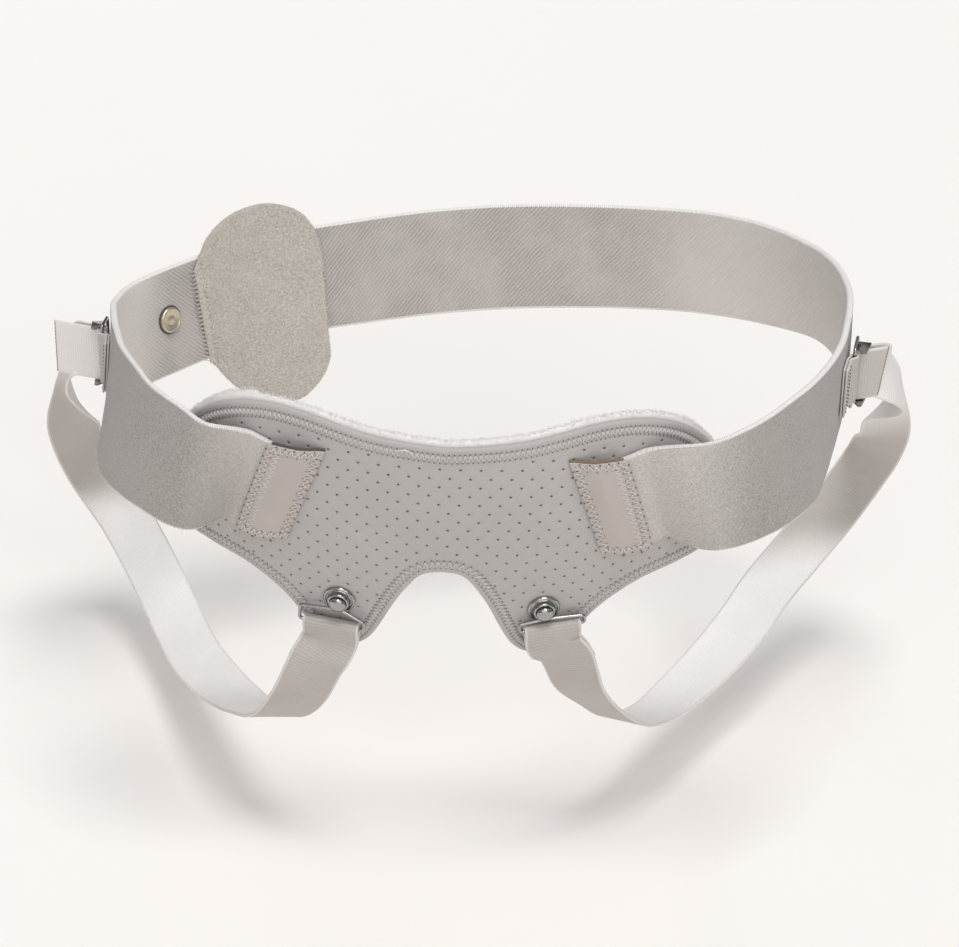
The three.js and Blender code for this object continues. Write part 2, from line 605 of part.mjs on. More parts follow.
// The leg strap's middle line from its free end round the cam's bar and down the leg to the hook's bar.
function legRun(side, { at, forward, outward, upward }, { at: hang, outer, lower, normal }) {
  const turn = degrees(side.endTurn);
  const origin = at(0, buckle.barOut, 0);
  const away = outward.clone().multiplyScalar(Math.cos(turn)).addScaledVector(forward, -Math.sin(turn));
  const front = forward.clone().multiplyScalar(Math.cos(turn)).addScaledVector(outward, Math.sin(turn));
  const radius = buckle.barRadius + clearance + tape.thickness / 2;
  const beside = (fore, out) => origin.clone().addScaledVector(front, fore).addScaledVector(away, out);
  const bar = hang(side.barOut, side.barDown);
  return [
    ...[1, 0.6, 0.25].map((share) => ({ centre: beside(radius, side.endLength * share), side: upward })),
    ...halfTurn(origin, front, away.clone().negate(), radius).map((centre) => ({ centre, side: upward })),
    ...[3, 9].map((out) => ({ centre: beside(-radius, out), side: upward })),
    ...side.leg.map((s) => ({
      centre: vector(s.across * waist.halfWidth, s.depth * waist.halfDepth, s.height * legDrop),
      side: vector(s.sideX, s.sideY, s.sideZ),
    })),
    { centre: bar.clone().addScaledVector(normal, fold.radius).addScaledVector(lower, fold.opening), side: outer },
    { centre: bar.clone().addScaledVector(normal, fold.radius), side: outer },
  ];
}

// The whole leg strap, folded over the hook's bar with its sewn end behind the run.
function legSolid(side, buckleFrameAxes, hanging) {
  const run = legRun(side, buckleFrameAxes, hanging);
  const front = new Band(run, side.sign);
  const bar = hanging.at(side.barOut, side.barDown);
  const turned = halfTurn(bar, hanging.normal, hanging.lower.clone().negate(), fold.radius).slice(1);
  turned.push(turned[3].clone().addScaledVector(hanging.lower, fold.radius));
  const behind = [0.35, 0.68, 1].map((share) => {
    const axes = front.along(front.length - fold.length * share);
    const facing = Math.sign(axes.normal.dot(hanging.normal));
    return { centre: Band.point(axes, 0, -facing * (tape.thickness + clearance)), side: axes.side };
  });
  const stations = [...run, ...turned.map((centre) => ({ centre, side: hanging.outer })), ...behind];
  const reach = 1.8 / (stations.length - 1);
  const slant = (t, across) => {
    const share = (side.endSlant / side.endLength) * reach * Math.max(0, 1 - t / reach);
    return share * (0.5 - across / tape.width);
  };
  return bandSolid(new Band(stations), tape, (stations.length - 1) * 3, slant);
}

// The wire hook: a loop round the stud's post, a level outer shoulder, a slanted inner one and the bar.
function hookSolid(side, { at, normal }) {
  const half = hook.barLength / 2;
  const [inner, outer] = [side.barOut - half, side.barOut + half];
  const { loopRadius, shoulder, corner } = hook;
  const loop = [140, 100, 60, 20, -20, -60, -100, -140].map((angle) => {
    return { x: loopRadius * Math.sin(degrees(angle)), y: -loopRadius * Math.cos(degrees(angle)) };
  });
  const outline = rounded([
    { x: -loopRadius * 0.5, y: loopRadius * 1.1, radius: 0.5 },
    { x: inner, y: side.barDown - 2.1 * fold.radius, radius: 0.8 },
    { x: inner, y: side.barDown, radius: corner },
    { x: outer, y: side.barDown, radius: corner },
    { x: outer, y: shoulder, radius: corner },
    { x: loopRadius * 0.75, y: loopRadius * 1.1, radius: 1 },
  ]);
  return wireLoop([...outline, ...loop].map(({ x, y }) => at(x, y)), normal, wire.radius);
}

function studProfile() {
  const neck = stud.neck;
  return [
    [0, clearance],
    [stud.postRadius, clearance],
    [stud.postRadius, neck],
    [stud.domeRadius, neck],
    [stud.domeRadius * 0.97, neck + stud.domeHeight * 0.35],
    [stud.domeRadius * 0.8, neck + stud.domeHeight * 0.68],
    [stud.domeRadius * 0.45, neck + stud.domeHeight * 0.93],
    [0, neck + stud.domeHeight],
  ];
}

function eyeletProfile() {
  const middle = (eyelet.innerRadius + eyelet.outerRadius) / 2;
  return [
    [eyelet.innerRadius, clearance],
    [eyelet.outerRadius, clearance],
    [eyelet.outerRadius - 0.3, clearance + eyelet.height * 0.55],
    [middle, clearance + eyelet.height],
    [eyelet.innerRadius, clearance + eyelet.height * 0.5],
    [eyelet.innerRadius, clearance],
  ];
}

function rivetProfile() {
  return [
    [0, 0],
    [rivet.radius, 0],
    [rivet.radius, rivet.height * 0.5],
    [rivet.radius * 0.86, rivet.height],
    [rivet.radius * 0.72, rivet.height * 0.82],
    [0, rivet.height * 0.9],
  ];
}

const bands = { left: beltBand(sides.left), right: beltBand(sides.right) };

add("front_panel", panelLayer(0, panel.thickness, 0, 0), "cover");
const liningFront = -(panel.thickness + clearance);
add("panel_lining", panelLayer(liningFront, lining.thickness, lining.topMargin, lining.sideMargin), "fleece");
add("belt_left", beltSolid(bands.left, 26), "webbing");
add("belt_right", beltSolid(bands.right, 52), "webbing");
add("closure_tab", tabSolid(bands.left, bands.right), "felt");

const rivetAxes = bands.left.along(rivet.fromEnd);
const rivetFoot = Band.point(rivetAxes, rivet.lift, -(webbing.thickness / 2 + clearance));
add("belt_rivet", turned(rivetProfile(), 24, rivetFoot, rivetAxes.normal.clone().negate()), "brass");

for (const [name, side] of Object.entries(sides)) {
  const seat = buckleSeat(bands[name], side.buckleAt);
  const axes = buckleAxes(seat);
  const hanging = hookAxes(side);
  const { point, normal } = onPanel(side.sign * eyelet.out, -eyelet.down);
  add("anchor_patch_" + name, patchSolid(side.sign), "patch");
  add("leg_strap_" + name, legSolid(side, axes, hanging), "tape");
  add("buckle_loop_" + name, loopSolid(seat, axes), "tape");
  add("buckle_frame_" + name, buckleFrame(axes), "chrome");
  add("buckle_lever_" + name, buckleLever(axes), "chrome");
  add("eyelet_" + name, turned(eyeletProfile(), 20, point, normal), "chrome");
  add("stud_" + name, turned(studProfile(), 20, point, normal), "chrome");
  add("hook_" + name, hookSolid(side, hanging), "chrome");
}

export default group;
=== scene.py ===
"""The looks of a double hernia belt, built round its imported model: a perforated padded panel, elastic
belts, a felt closure tab, and leg straps between wire hooks and metal buckles. Lengths are in millimetres
until a piece is made, +X to the right as seen from the front, +Y to the back, +Z up."""

import math

import bpy
import numpy as np
from mathutils import Matrix, Vector
from mathutils.geometry import delaunay_2d_cdt


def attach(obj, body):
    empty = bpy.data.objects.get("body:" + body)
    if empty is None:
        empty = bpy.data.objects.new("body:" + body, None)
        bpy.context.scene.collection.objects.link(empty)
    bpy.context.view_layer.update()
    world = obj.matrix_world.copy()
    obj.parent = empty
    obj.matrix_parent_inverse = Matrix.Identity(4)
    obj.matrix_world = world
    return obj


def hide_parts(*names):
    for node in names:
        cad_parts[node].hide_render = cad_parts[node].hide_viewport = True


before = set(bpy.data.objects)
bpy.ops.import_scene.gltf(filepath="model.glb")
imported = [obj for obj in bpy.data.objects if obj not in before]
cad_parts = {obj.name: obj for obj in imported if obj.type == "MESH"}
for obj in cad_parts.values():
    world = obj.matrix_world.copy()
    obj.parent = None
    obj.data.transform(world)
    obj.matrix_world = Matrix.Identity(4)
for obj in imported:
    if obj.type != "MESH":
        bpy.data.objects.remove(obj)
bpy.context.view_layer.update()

MM = 0.001
rng = np.random.default_rng(7)

# Driving sizes, as in the part
clearance = 0.3
half_width, half_depth = 166, 126
web_width, web_thick = 50, 3
tape_width, tape_thick = 25, 1.5
panel_middle, half_span, panel_rise, panel_drop, panel_thick = -11.5, 132, 44, 84, 3
bend_radius, tuck_radius, tuck_start, wing_start, wing_radius = 245, 286, 20, 78, 150
lining_thick, lining_top, lining_side = 3, 1.6, 0.4
patch_thick, patch_flat, patch_foot, patch_wide, patch_tall, patch_seam = 1.4, 0.5, 0.97, 24.5, 47, 2.3
felt_length, felt_height, felt_thick, felt_lap = 65, 104, 2.4, 6
rivet_radius, rivet_height, rivet_from_end, rivet_lift = 5.6, 1.6, 23.5, 1
eyelet_out, eyelet_down, eyelet_outer, eyelet_inner, eyelet_height = 46.5, 52.5, 7.2, 5, 1.3
wire_radius = 0.8
post_radius, dome_radius, dome_height = 2.9, 3.8, 2.4
bar_length, hook_loop, hook_shoulder, hook_corner = 28.6, 4.1, 5.5, 1.5
loop_offset = eyelet_height + 2 * clearance + wire_radius
bar_offset = wire_radius + tape_thick + 3 * clearance + (bar_length / 2) ** 2 / (2 * bend_radius)
neck = loop_offset + wire_radius + clearance
leg_drop = 153
fold_length, fold_opening, fold_radius = 24, 9, wire_radius + 1.5 * clearance + tape_thick / 2
buckle_height, buckle_reach, buckle_corner, wire_out, cam_radius, cam_out = 27.8, 6.5, 1.6, 3.4, 1, 5
plate_thick, plate_rear, plate_front, plate_inner, plate_outer = 0.5, 4.2, 7.5, 1.6, 5
seat_steps = (-8, -4, 0, 11)
loop_width, loop_thick, loop_sewn = 24, 1, 11

# Belt stations: across and depth as shares of the waist's half width and depth, lift as a share of the
# webbing's width, and lean in degrees.
right_belt = (
    (-0.68, 0.55, 0.0, 12), (-0.53, 0.65, 0.02, 14), (-0.35, 0.74, 0.04, 17), (-0.14, 0.83, 0.06, 20),
    (0.08, 0.91, 0.05, 20), (0.28, 0.955, 0.03, 17), (0.47, 0.94, 0.06, 13), (0.64, 0.86, 0.14, 10),
    (0.8, 0.71, 0.24, 3), (0.925, 0.53, 0.32, -6), (0.985, 0.32, 0.38, -5), (1.0, 0.1, 0.4, -2),
    (0.98, -0.13, 0.4, 0), (0.95, -0.34, 0.4, -1), (0.905, -0.54, 0.4, -7), (0.84, -0.73, 0.38, -17),
    (0.74, -0.875, 0.32, -17), (0.62, -0.935, 0.22, -9),
)
left_belt = (
    (-0.765, 0.465, -0.02, 12), (-0.86, 0.35, -0.04, 14), (-0.94, 0.22, -0.03, 12), (-0.985, 0.08, 0.0, 6),
    (-0.99, -0.07, 0.06, 0), (-0.985, -0.23, 0.11, -6), (-0.97, -0.4, 0.17, -12), (-0.94, -0.57, 0.23, -20),
    (-0.895, -0.73, 0.27, -24), (-0.82, -0.85, 0.26, -24), (-0.725, -0.93, 0.19, -14),
)
# Panel outline: share of the half span, then of the rise or the drop.
top_edge = (
    (0, 0.74), (0.15, 0.78), (0.27, 0.83), (0.37, 0.9), (0.48, 0.975), (0.6, 1), (0.7, 0.95), (0.8, 0.82),
    (0.88, 0.64), (0.95, 0.4), (1, 0.12),
)
bottom_edge = (
    (0, 0.375), (0.07, 0.4), (0.12, 0.5), (0.165, 0.625), (0.205, 0.765), (0.25, 0.9), (0.3, 0.97), (0.37, 1),
    (0.44, 0.94), (0.49, 0.81), (0.53, 0.7), (0.6, 0.585), (0.7, 0.49), (0.85, 0.44), (0.95, 0.41), (1, 0.3),
)
patch_corners = {"inner_top": (0.394, 0.53), "outer_top": (0.58, 0.55), "outer_bottom": (0.697, -0.39),
                 "inner_bottom": (0.527, -0.44)}
# Closure tab: share of its length from the sewn end, then above and below as shares of its height.
tab_outline = (
    (0, 0.19, 0.25), (0.06, 0.24, 0.29), (0.14, 0.305, 0.37), (0.26, 0.355, 0.45), (0.42, 0.39, 0.51),
    (0.6, 0.395, 0.54), (0.76, 0.365, 0.53), (0.88, 0.315, 0.48), (0.96, 0.24, 0.42), (1, 0.16, 0.36),
)
# Leg strap routes: across, depth and height as shares of the waist's half width and depth and of the
# straps' drop, then the direction of the tape's width.
right_leg = (
    (1.127, -0.016, 0.059, -0.18, 0.64, 0.75), (1.157, 0.151, -0.046, -0.12, 0.67, 0.73),
    (1.133, 0.302, -0.163, 0.67, 0.57, 0.47), (1.151, 0.421, -0.307, 0.97, 0.18, 0.2),
    (1.151, 0.571, -0.431, 0.97, -0.16, -0.17), (1.127, 0.69, -0.569, 0.8, -0.45, -0.4),
    (1.042, 0.635, -0.706, 0.81, -0.4, -0.43), (0.946, 0.5, -0.791, 0.8, -0.37, -0.47),
    (0.855, 0.333, -0.85, 0.82, -0.37, -0.44), (0.777, 0.159, -0.908, 0.85, -0.44, -0.31),
    (0.693, -0.016, -0.948, 0.86, -0.49, -0.16), (0.608, -0.198, -0.961, 0.87, -0.5, -0.01),
    (0.53, -0.381, -0.948, 0.86, -0.49, 0.12), (0.446, -0.556, -0.889, 0.86, -0.49, 0.13),
    (0.373, -0.69, -0.778, 0.86, -0.49, 0.12), (0.307, -0.81, -0.647, 0.9, -0.39, 0.21),
    (0.265, -0.865, -0.51, 0.95, -0.14, 0.25),
)
left_leg = (
    (-1.11, 0.13, -0.03, 0.02, 0.55, 0.83), (-1.14, 0.23, -0.14, -0.05, 0.78, 0.6),
    (-1.14, 0.35, -0.26, -0.4, 0.74, 0.52), (-1.14, 0.46, -0.38, -0.86, 0.4, 0.3),
    (-1.15, 0.57, -0.51, -0.95, -0.22, -0.15), (-1.11, 0.65, -0.68, -0.85, -0.4, -0.36),
    (-1.01, 0.62, -0.84, -0.84, -0.37, -0.4), (-0.91, 0.44, -0.95, -0.83, -0.37, -0.42),
    (-0.83, 0.2, -1, -0.82, -0.4, -0.42), (-0.765, -0.05, -0.99, -0.83, -0.43, -0.36),
    (-0.69, -0.3, -0.95, -0.85, -0.48, -0.24), (-0.635, -0.46, -0.915, -0.86, -0.49, -0.08),
    (-0.575, -0.63, -0.865, -0.87, -0.48, 0.1), (-0.5, -0.79, -0.8, -0.9, -0.38, 0.22),
    (-0.44, -0.885, -0.68, -0.94, -0.15, 0.28), (-0.393, -0.905, -0.55, -0.98, 0.05, 0.2),
)
sides = {
    "left": dict(sign=-1, belt=left_belt, leg=left_leg, buckle_at=0.27, end_length=24, end_turn=24,
                 end_slant=0, bar_out=2.5, bar_down=13.6, swing=4),
    "right": dict(sign=1, belt=right_belt, leg=right_leg, buckle_at=0.688, end_length=13, end_turn=30,
                  end_slant=5, bar_out=3, bar_down=9.5, swing=8),
}


# Geometry of the belt
def unit(v):
    return v / np.linalg.norm(v, axis=-1, keepdims=True)


def smooth(x):
    x = np.clip(x, 0, 1)
    return x * x * (3 - 2 * x)


def catmull(points, t, centripetal=True):
    """Points of an open spline at shares t, each 0 to 1 over its rows."""
    points = np.asarray(points, float)
    last = len(points) - 1
    x = np.clip(np.asarray(t, float), 0, 1) * last
    i = np.minimum(x.astype(int), last - 1)
    w = (x - i)[:, None]
    ends = np.vstack([2 * points[0] - points[1], points, 2 * points[-1] - points[-2]])
    p0, p1, p2, p3 = (ends[i + k] for k in range(4))
    if centripetal:
        pairs = ((p0, p1), (p1, p2), (p2, p3))
        d0, d1, d2 = (np.sqrt(np.linalg.norm(b - a, axis=1))[:, None] + 1e-9 for a, b in pairs)
        m1 = ((p1 - p0) / d0 - (p2 - p0) / (d0 + d1) + (p2 - p1) / d1) * d1
        m2 = ((p2 - p1) / d1 - (p3 - p1) / (d1 + d2) + (p3 - p2) / d2) * d1
    else:
        m1, m2 = (p2 - p0) / 2, (p3 - p1) / 2
    return p1 + m1 * w + (3 * (p2 - p1) - 2 * m1 - m2) * w**2 + (2 * (p1 - p2) + m1 + m2) * w**3


def between(table, column, x):
    """A smooth value between a table's rows, by the first column."""
    rows = np.asarray(table, float)
    keys, values = rows[:, 0], rows[:, column]
    last = len(keys) - 1
    x = np.asarray(x, float)
    i = np.clip(np.searchsorted(keys, x, side="left") - 1, 0, last - 1)
    slopes = np.array([
        (values[min(k + 1, last)] - values[max(k - 1, 0)]) / (keys[min(k + 1, last)] - keys[max(k - 1, 0)])
        for k in range(last + 1)
    ])
    span = keys[i + 1] - keys[i]
    t = np.clip((x - keys[i]) / span, 0, 1)
    rise = values[i + 1] - values[i]
    bow = (slopes[i] * span - rise) * (1 - t) + (rise - slopes[i + 1] * span) * t
    return values[i] + rise * t + t * (1 - t) * bow


def on_panel(out, height, offset=0.0):
    """Points and normals on the panel's front face."""
    out, height, offset = np.broadcast_arrays(np.asarray(out, float), height, offset)
    turn = out / bend_radius
    level = np.stack([np.sin(turn), -np.cos(turn), 0 * turn], -1)
    tuck = np.maximum(0, (tuck_start - height) / tuck_radius)
    wing = np.maximum(0, np.abs(out) - wing_start)
    inward = tuck_radius * (1 - np.cos(tuck)) + wing**2 / (2 * wing_radius)
    z = np.where(tuck > 0, tuck_start - tuck_radius * np.sin(tuck), height)
    normal = level * np.cos(tuck)[..., None] - np.array([0, 0, 1]) * np.sin(tuck)[..., None]
    base = np.stack([panel_middle + 0 * z, bend_radius - half_depth + 0 * z, z], -1)
    return base + level * (bend_radius - inward)[..., None] + normal * offset[..., None], normal


def panel_limits(out):
    """The panel's lower and upper edge at distances out from its middle."""
    share = np.abs(out) / half_span
    return -between(bottom_edge, 1, share) * panel_drop, between(top_edge, 1, share) * panel_rise


class Band:
    """A flat band along stations that give its middle line and the direction of its width."""

    def __init__(self, centres, widths, facing=1, cups=None):
        t = np.linspace(0, 1, (len(centres) - 1) * 40 + 1)
        step = 1e-4
        self.centre = catmull(centres, t)
        self.tangent = unit(catmull(centres, t + step) - catmull(centres, t - step))
        side = catmull(widths, t, False)
        self.side = unit(side - self.tangent * np.sum(side * self.tangent, -1, keepdims=True))
        self.facing = facing
        self.cup = catmull(np.array(cups)[:, None], t, False)[:, 0] if cups is not None else 0 * t
        self.far = np.r_[0, np.cumsum(np.linalg.norm(np.diff(self.centre, axis=0), axis=1))]
        self.length = self.far[-1]

    def axes(self, distance):
        distance = np.atleast_1d(np.asarray(distance, float))
        pick = lambda values: np.stack([np.interp(distance, self.far, column) for column in values.T], -1)
        tangent, side = unit(pick(self.tangent)), unit(pick(self.side))
        normal = np.cross(tangent, side) * self.facing
        over = np.clip(distance - self.length, 0, None)[:, None] + np.clip(distance, None, 0)[:, None]
        cup = np.interp(distance, self.far, self.cup)
        return pick(self.centre) + tangent * over, tangent, side, normal, cup

    def point(self, distance, across=0.0, off=0.0):
        """Points at distances along, across and off the middle surface, all of one length."""
        centre, _, side, normal, cup = self.axes(distance)
        across, off = np.broadcast_arrays(np.asarray(across, float), off)
        off = off - cup * across**2 / (2 * tuck_radius)
        return centre + side * np.reshape(across, (-1, 1)) + normal * np.reshape(off, (-1, 1))


def corner(name, sign):
    out, up = patch_corners[name]
    return np.array([out * half_span * sign, up * web_width])


def belt_band(side):
    sign = side["sign"]
    rows = np.array(side["belt"], float)
    places = rows[:, :3] * [half_width, half_depth, web_width]
    t = np.linspace(0, 1, len(rows))
    tangents = unit(catmull(places, t + 1e-4) - catmull(places, t - 1e-4))
    outward = np.cross([0, 0, 1], tangents) * sign
    outward[:, 2] = 0
    outward = unit(outward)
    lean = np.radians(rows[:, 3])[:, None]
    widths = list(np.array([0, 0, 1]) * np.cos(lean) + outward * np.sin(lean))
    centres = list(places)
    seat = 1.5 * clearance + web_thick / 2
    top, bottom = corner("outer_top", sign), corner("outer_bottom", sign)
    rise = (top - bottom) / np.linalg.norm(top - bottom)
    for step in seat_steps:
        spot = (top + bottom) / 2 + np.array([-rise[1], rise[0]]) * sign * step
        here = on_panel(spot[0], spot[1], seat)[0]
        centres.append(here)
        widths.append(unit(on_panel(spot[0] + rise[0], spot[1] + rise[1], seat)[0] - here))
    cups = [0] * len(places) + [1] * len(seat_steps)
    return Band(np.array(centres), np.array(widths), -sign, cups)


def half_turn(centre, first, over, radius):
    turns = np.linspace(0, math.pi, 5)
    return [centre + first * radius * math.cos(a) + over * radius * math.sin(a) for a in turns]


def rounded(corners, steps=8):
    """A closed flat outline with each corner, given as x, y and radius, rounded."""
    points = []
    t = np.linspace(0, 1, steps)[:, None]
    for i, (x, y, radius) in enumerate(corners):
        here = np.array([x, y])
        others = (np.array(corners[k][:2]) for k in (i - 1, (i + 1) % len(corners)))
        first, last = (here + unit(other - here) * radius for other in others)
        points.append((1 - t) ** 2 * first + 2 * t * (1 - t) * here + t**2 * last)
    return np.vstack(points)


def buckle_seat(band, share):
    start = share * band.length
    return lambda fore, out, across=0.0: band.point(start + np.atleast_1d(fore), across, web_thick / 2 + out)


def buckle_axes(seat):
    origin = seat(0, 0)[0]
    outward = unit(seat(0, 1)[0] - origin)
    upward = unit(seat(0, 0, 1)[0] - origin)
    forward = seat(1, 0)[0] - origin
    forward = unit(forward - outward * forward.dot(outward) - upward * forward.dot(upward))
    at = lambda fore, out, rise=0.0: origin + forward * fore + outward * out + upward * rise
    return at, forward, outward, upward


def hook_axes(side):
    sign, turn = side["sign"], math.radians(side["swing"])
    spot = lambda out, down, offset: on_panel(sign * out, -down, offset)[0]
    post = spot(eyelet_out, eyelet_down, loop_offset)
    level = unit(spot(eyelet_out + 1, eyelet_down, loop_offset) - post)
    down = spot(eyelet_out, eyelet_down + side["bar_down"], bar_offset) - post
    down = unit(down - level * down.dot(level))
    outer = level * math.cos(turn) - down * math.sin(turn)
    lower = down * math.cos(turn) + level * math.sin(turn)
    normal = unit(np.cross(outer, lower))
    normal = -normal if normal[1] > 0 else normal
    return (lambda out, fall: post + outer * out + lower * fall), outer, lower, normal


def leg_band(side, buckle, hook):
    at, forward, outward, upward = buckle
    hang, outer, lower, normal = hook
    turn = math.radians(side["end_turn"])
    origin = at(0, cam_out)
    away = outward * math.cos(turn) - forward * math.sin(turn)
    front = forward * math.cos(turn) + outward * math.sin(turn)
    radius = cam_radius + clearance + tape_thick / 2
    bar = hang(side["bar_out"], side["bar_down"])
    free = [side["end_length"] * share for share in (1, 0.6, 0.25)]
    stations = [(origin + front * radius + away * out, upward) for out in free]
    stations += [(p, upward) for p in half_turn(origin, front, -away, radius)]
    stations += [(origin - front * radius + away * out, upward) for out in (3, 9)]
    for row in side["leg"]:
        stations.append((np.array(row[:3]) * [half_width, half_depth, leg_drop], np.array(row[3:])))
    stations.append((bar + normal * fold_radius + lower * fold_opening, outer))
    stations.append((bar + normal * fold_radius, outer))
    run = Band(*map(np.array, zip(*stations)), side["sign"])
    turned = half_turn(bar, normal, -lower, fold_radius)[1:]
    turned.append(turned[3] + lower * fold_radius)
    stations += [(p, outer) for p in turned]
    for share in (0.35, 0.68, 1):
        centre, _, width, face, _ = run.axes(run.length - fold_length * share)
        facing = np.sign(face[0].dot(normal))
        stations.append((centre[0] - face[0] * facing * (tape_thick + clearance), width[0]))
    return Band(*map(np.array, zip(*stations)), side["sign"])


def loop_band(seat, buckle):
    at, _, _, upward = buckle
    low = clearance + loop_thick / 2
    high = low + loop_thick + clearance
    radius = wire_radius + clearance + loop_thick / 2
    start = buckle_reach + 2.5 * radius
    sewn = lambda fore, out: (seat(fore, out)[0], seat(fore, out, 1)[0] - seat(fore, out)[0])
    steps = [start + loop_sewn * share for share in (1, 0.75, 0.5, 0.25, 0)]
    stations = [sewn(fore, low) for fore in steps]
    for angle in (-80, -125, -180, -235, -280):
        a = math.radians(angle)
        stations.append((at(buckle_reach + radius * math.cos(a), wire_out + radius * math.sin(a)), upward))
    stations += [sewn(fore, high) for fore in reversed(steps)]
    return Band(*map(np.array, zip(*stations)))


# Materials: helpers
def tone(r, g, b):
    """A picture colour, 0 to 255, as a linear colour."""
    return tuple(((c / 255 + 0.055) / 1.055) ** 2.4 if c > 10 else c / 255 / 12.92 for c in (r, g, b)) + (1,)


class Look:
    """A node material: calls add nodes and give back their sockets."""

    def __init__(self, name, roughness, metallic=0.0, sheen=0.0):
        self.material = bpy.data.materials.new(name)
        self.material.use_nodes = True
        self.tree = self.material.node_tree
        self.shader = next(n for n in self.tree.nodes if n.type == "BSDF_PRINCIPLED")
        for socket, value in (("Roughness", roughness), ("Metallic", metallic), ("Sheen Weight", sheen),
                              ("Sheen Roughness", 0.45)):
            self.shader.inputs[socket].default_value = value

    def put(self, socket, value):
        if isinstance(value, bpy.types.NodeSocket):
            self.tree.links.new(value, socket)
        elif value is not None:
            socket.default_value = value

    def math(self, operation, *values):
        node = self.tree.nodes.new("ShaderNodeMath")
        node.operation = operation
        for socket, value in zip(node.inputs, values):
            self.put(socket, value)
        return node.outputs[0]

    def times(self, a, b):
        return self.math("MULTIPLY", a, b)

    def plus(self, a, b):
        return self.math("ADD", a, b)

    def less(self, a, b):
        return self.math("SUBTRACT", a, b)

    def rest(self, value):
        """What is left of 1."""
        return self.math("SUBTRACT", 1.0, value)

    def scaled(self, value, slope, offset):
        return self.math("MULTIPLY_ADD", value, slope, offset)

    def most(self, a, b):
        return self.math("MAXIMUM", a, b)

    def positive(self, value):
        return self.math("ABSOLUTE", value)

    def mix(self, factor, a, b):
        node = self.tree.nodes.new("ShaderNodeMix")
        node.data_type = "RGBA"
        for k, value in ((0, factor), (6, a), (7, b)):
            self.put(node.inputs[k], tone(*value) if isinstance(value, tuple) else value)
        return node.outputs[2]

    def parts(self, vector):
        split = self.tree.nodes.new("ShaderNodeSeparateXYZ")
        self.put(split.inputs[0], vector)
        return split.outputs

    def uv(self):
        """The distances along and across that a piece was made with, in millimetres."""
        node = self.tree.nodes.new("ShaderNodeUVMap")
        node.uv_map = "Sizes"
        along, across, _ = self.parts(node.outputs[0])
        return self.times(along, 1000), self.times(across, 1000)

    def place(self):
        return self.tree.nodes.new("ShaderNodeTexCoord").outputs["Object"]

    def noise(self, scale, detail, rough=0.55):
        """Fine noise whose grains are about 1/scale metres across."""
        node = self.tree.nodes.new("ShaderNodeTexNoise")
        self.put(node.inputs["Vector"], self.place())
        for socket, value in (("Scale", scale), ("Detail", detail), ("Roughness", rough)):
            node.inputs[socket].default_value = value
        return node.outputs["Fac"]

    def cells(self, scale):
        node = self.tree.nodes.new("ShaderNodeTexVoronoi")
        self.put(node.inputs["Vector"], self.place())
        node.inputs["Scale"].default_value = scale
        return node.outputs["Distance"]

    def wave(self, coordinate, pitch):
        return self.scaled(self.math("SINE", self.times(coordinate, 2 * math.pi / pitch)), 0.5, 0.5)

    def span(self, value, low, high):
        """0 below low and 1 above high."""
        node = self.tree.nodes.new("ShaderNodeMapRange")
        node.interpolation_type = "SMOOTHSTEP"
        for k, number in enumerate((low, high, 0.0, 1.0)):
            node.inputs[k + 1].default_value = number
        self.put(node.inputs[0], value)
        return node.outputs[0]

    def bump(self, height, distance, strength=1.0, below=None):
        node = self.tree.nodes.new("ShaderNodeBump")
        node.inputs["Strength"].default_value = strength
        node.inputs["Distance"].default_value = distance * MM
        self.put(node.inputs["Height"], height)
        self.put(node.inputs["Normal"], below)
        return node.outputs[0]

    def finish(self, color=None, normal=None, roughness=None):
        self.put(self.shader.inputs["Base Color"], color)
        self.put(self.shader.inputs["Normal"], normal)
        self.put(self.shader.inputs["Roughness"], roughness)
        return self.material


def faces_of(look, half):
    """The weave's own coordinates: along, across, 1 on the outer face, and 1 on the selvages."""
    u, v = look.uv()
    outside = look.span(v, 54.0, 56.0)
    across = look.less(v, look.times(outside, 110.0))
    return u, across, outside, look.span(look.positive(across), half - 1.4, half - 0.5)


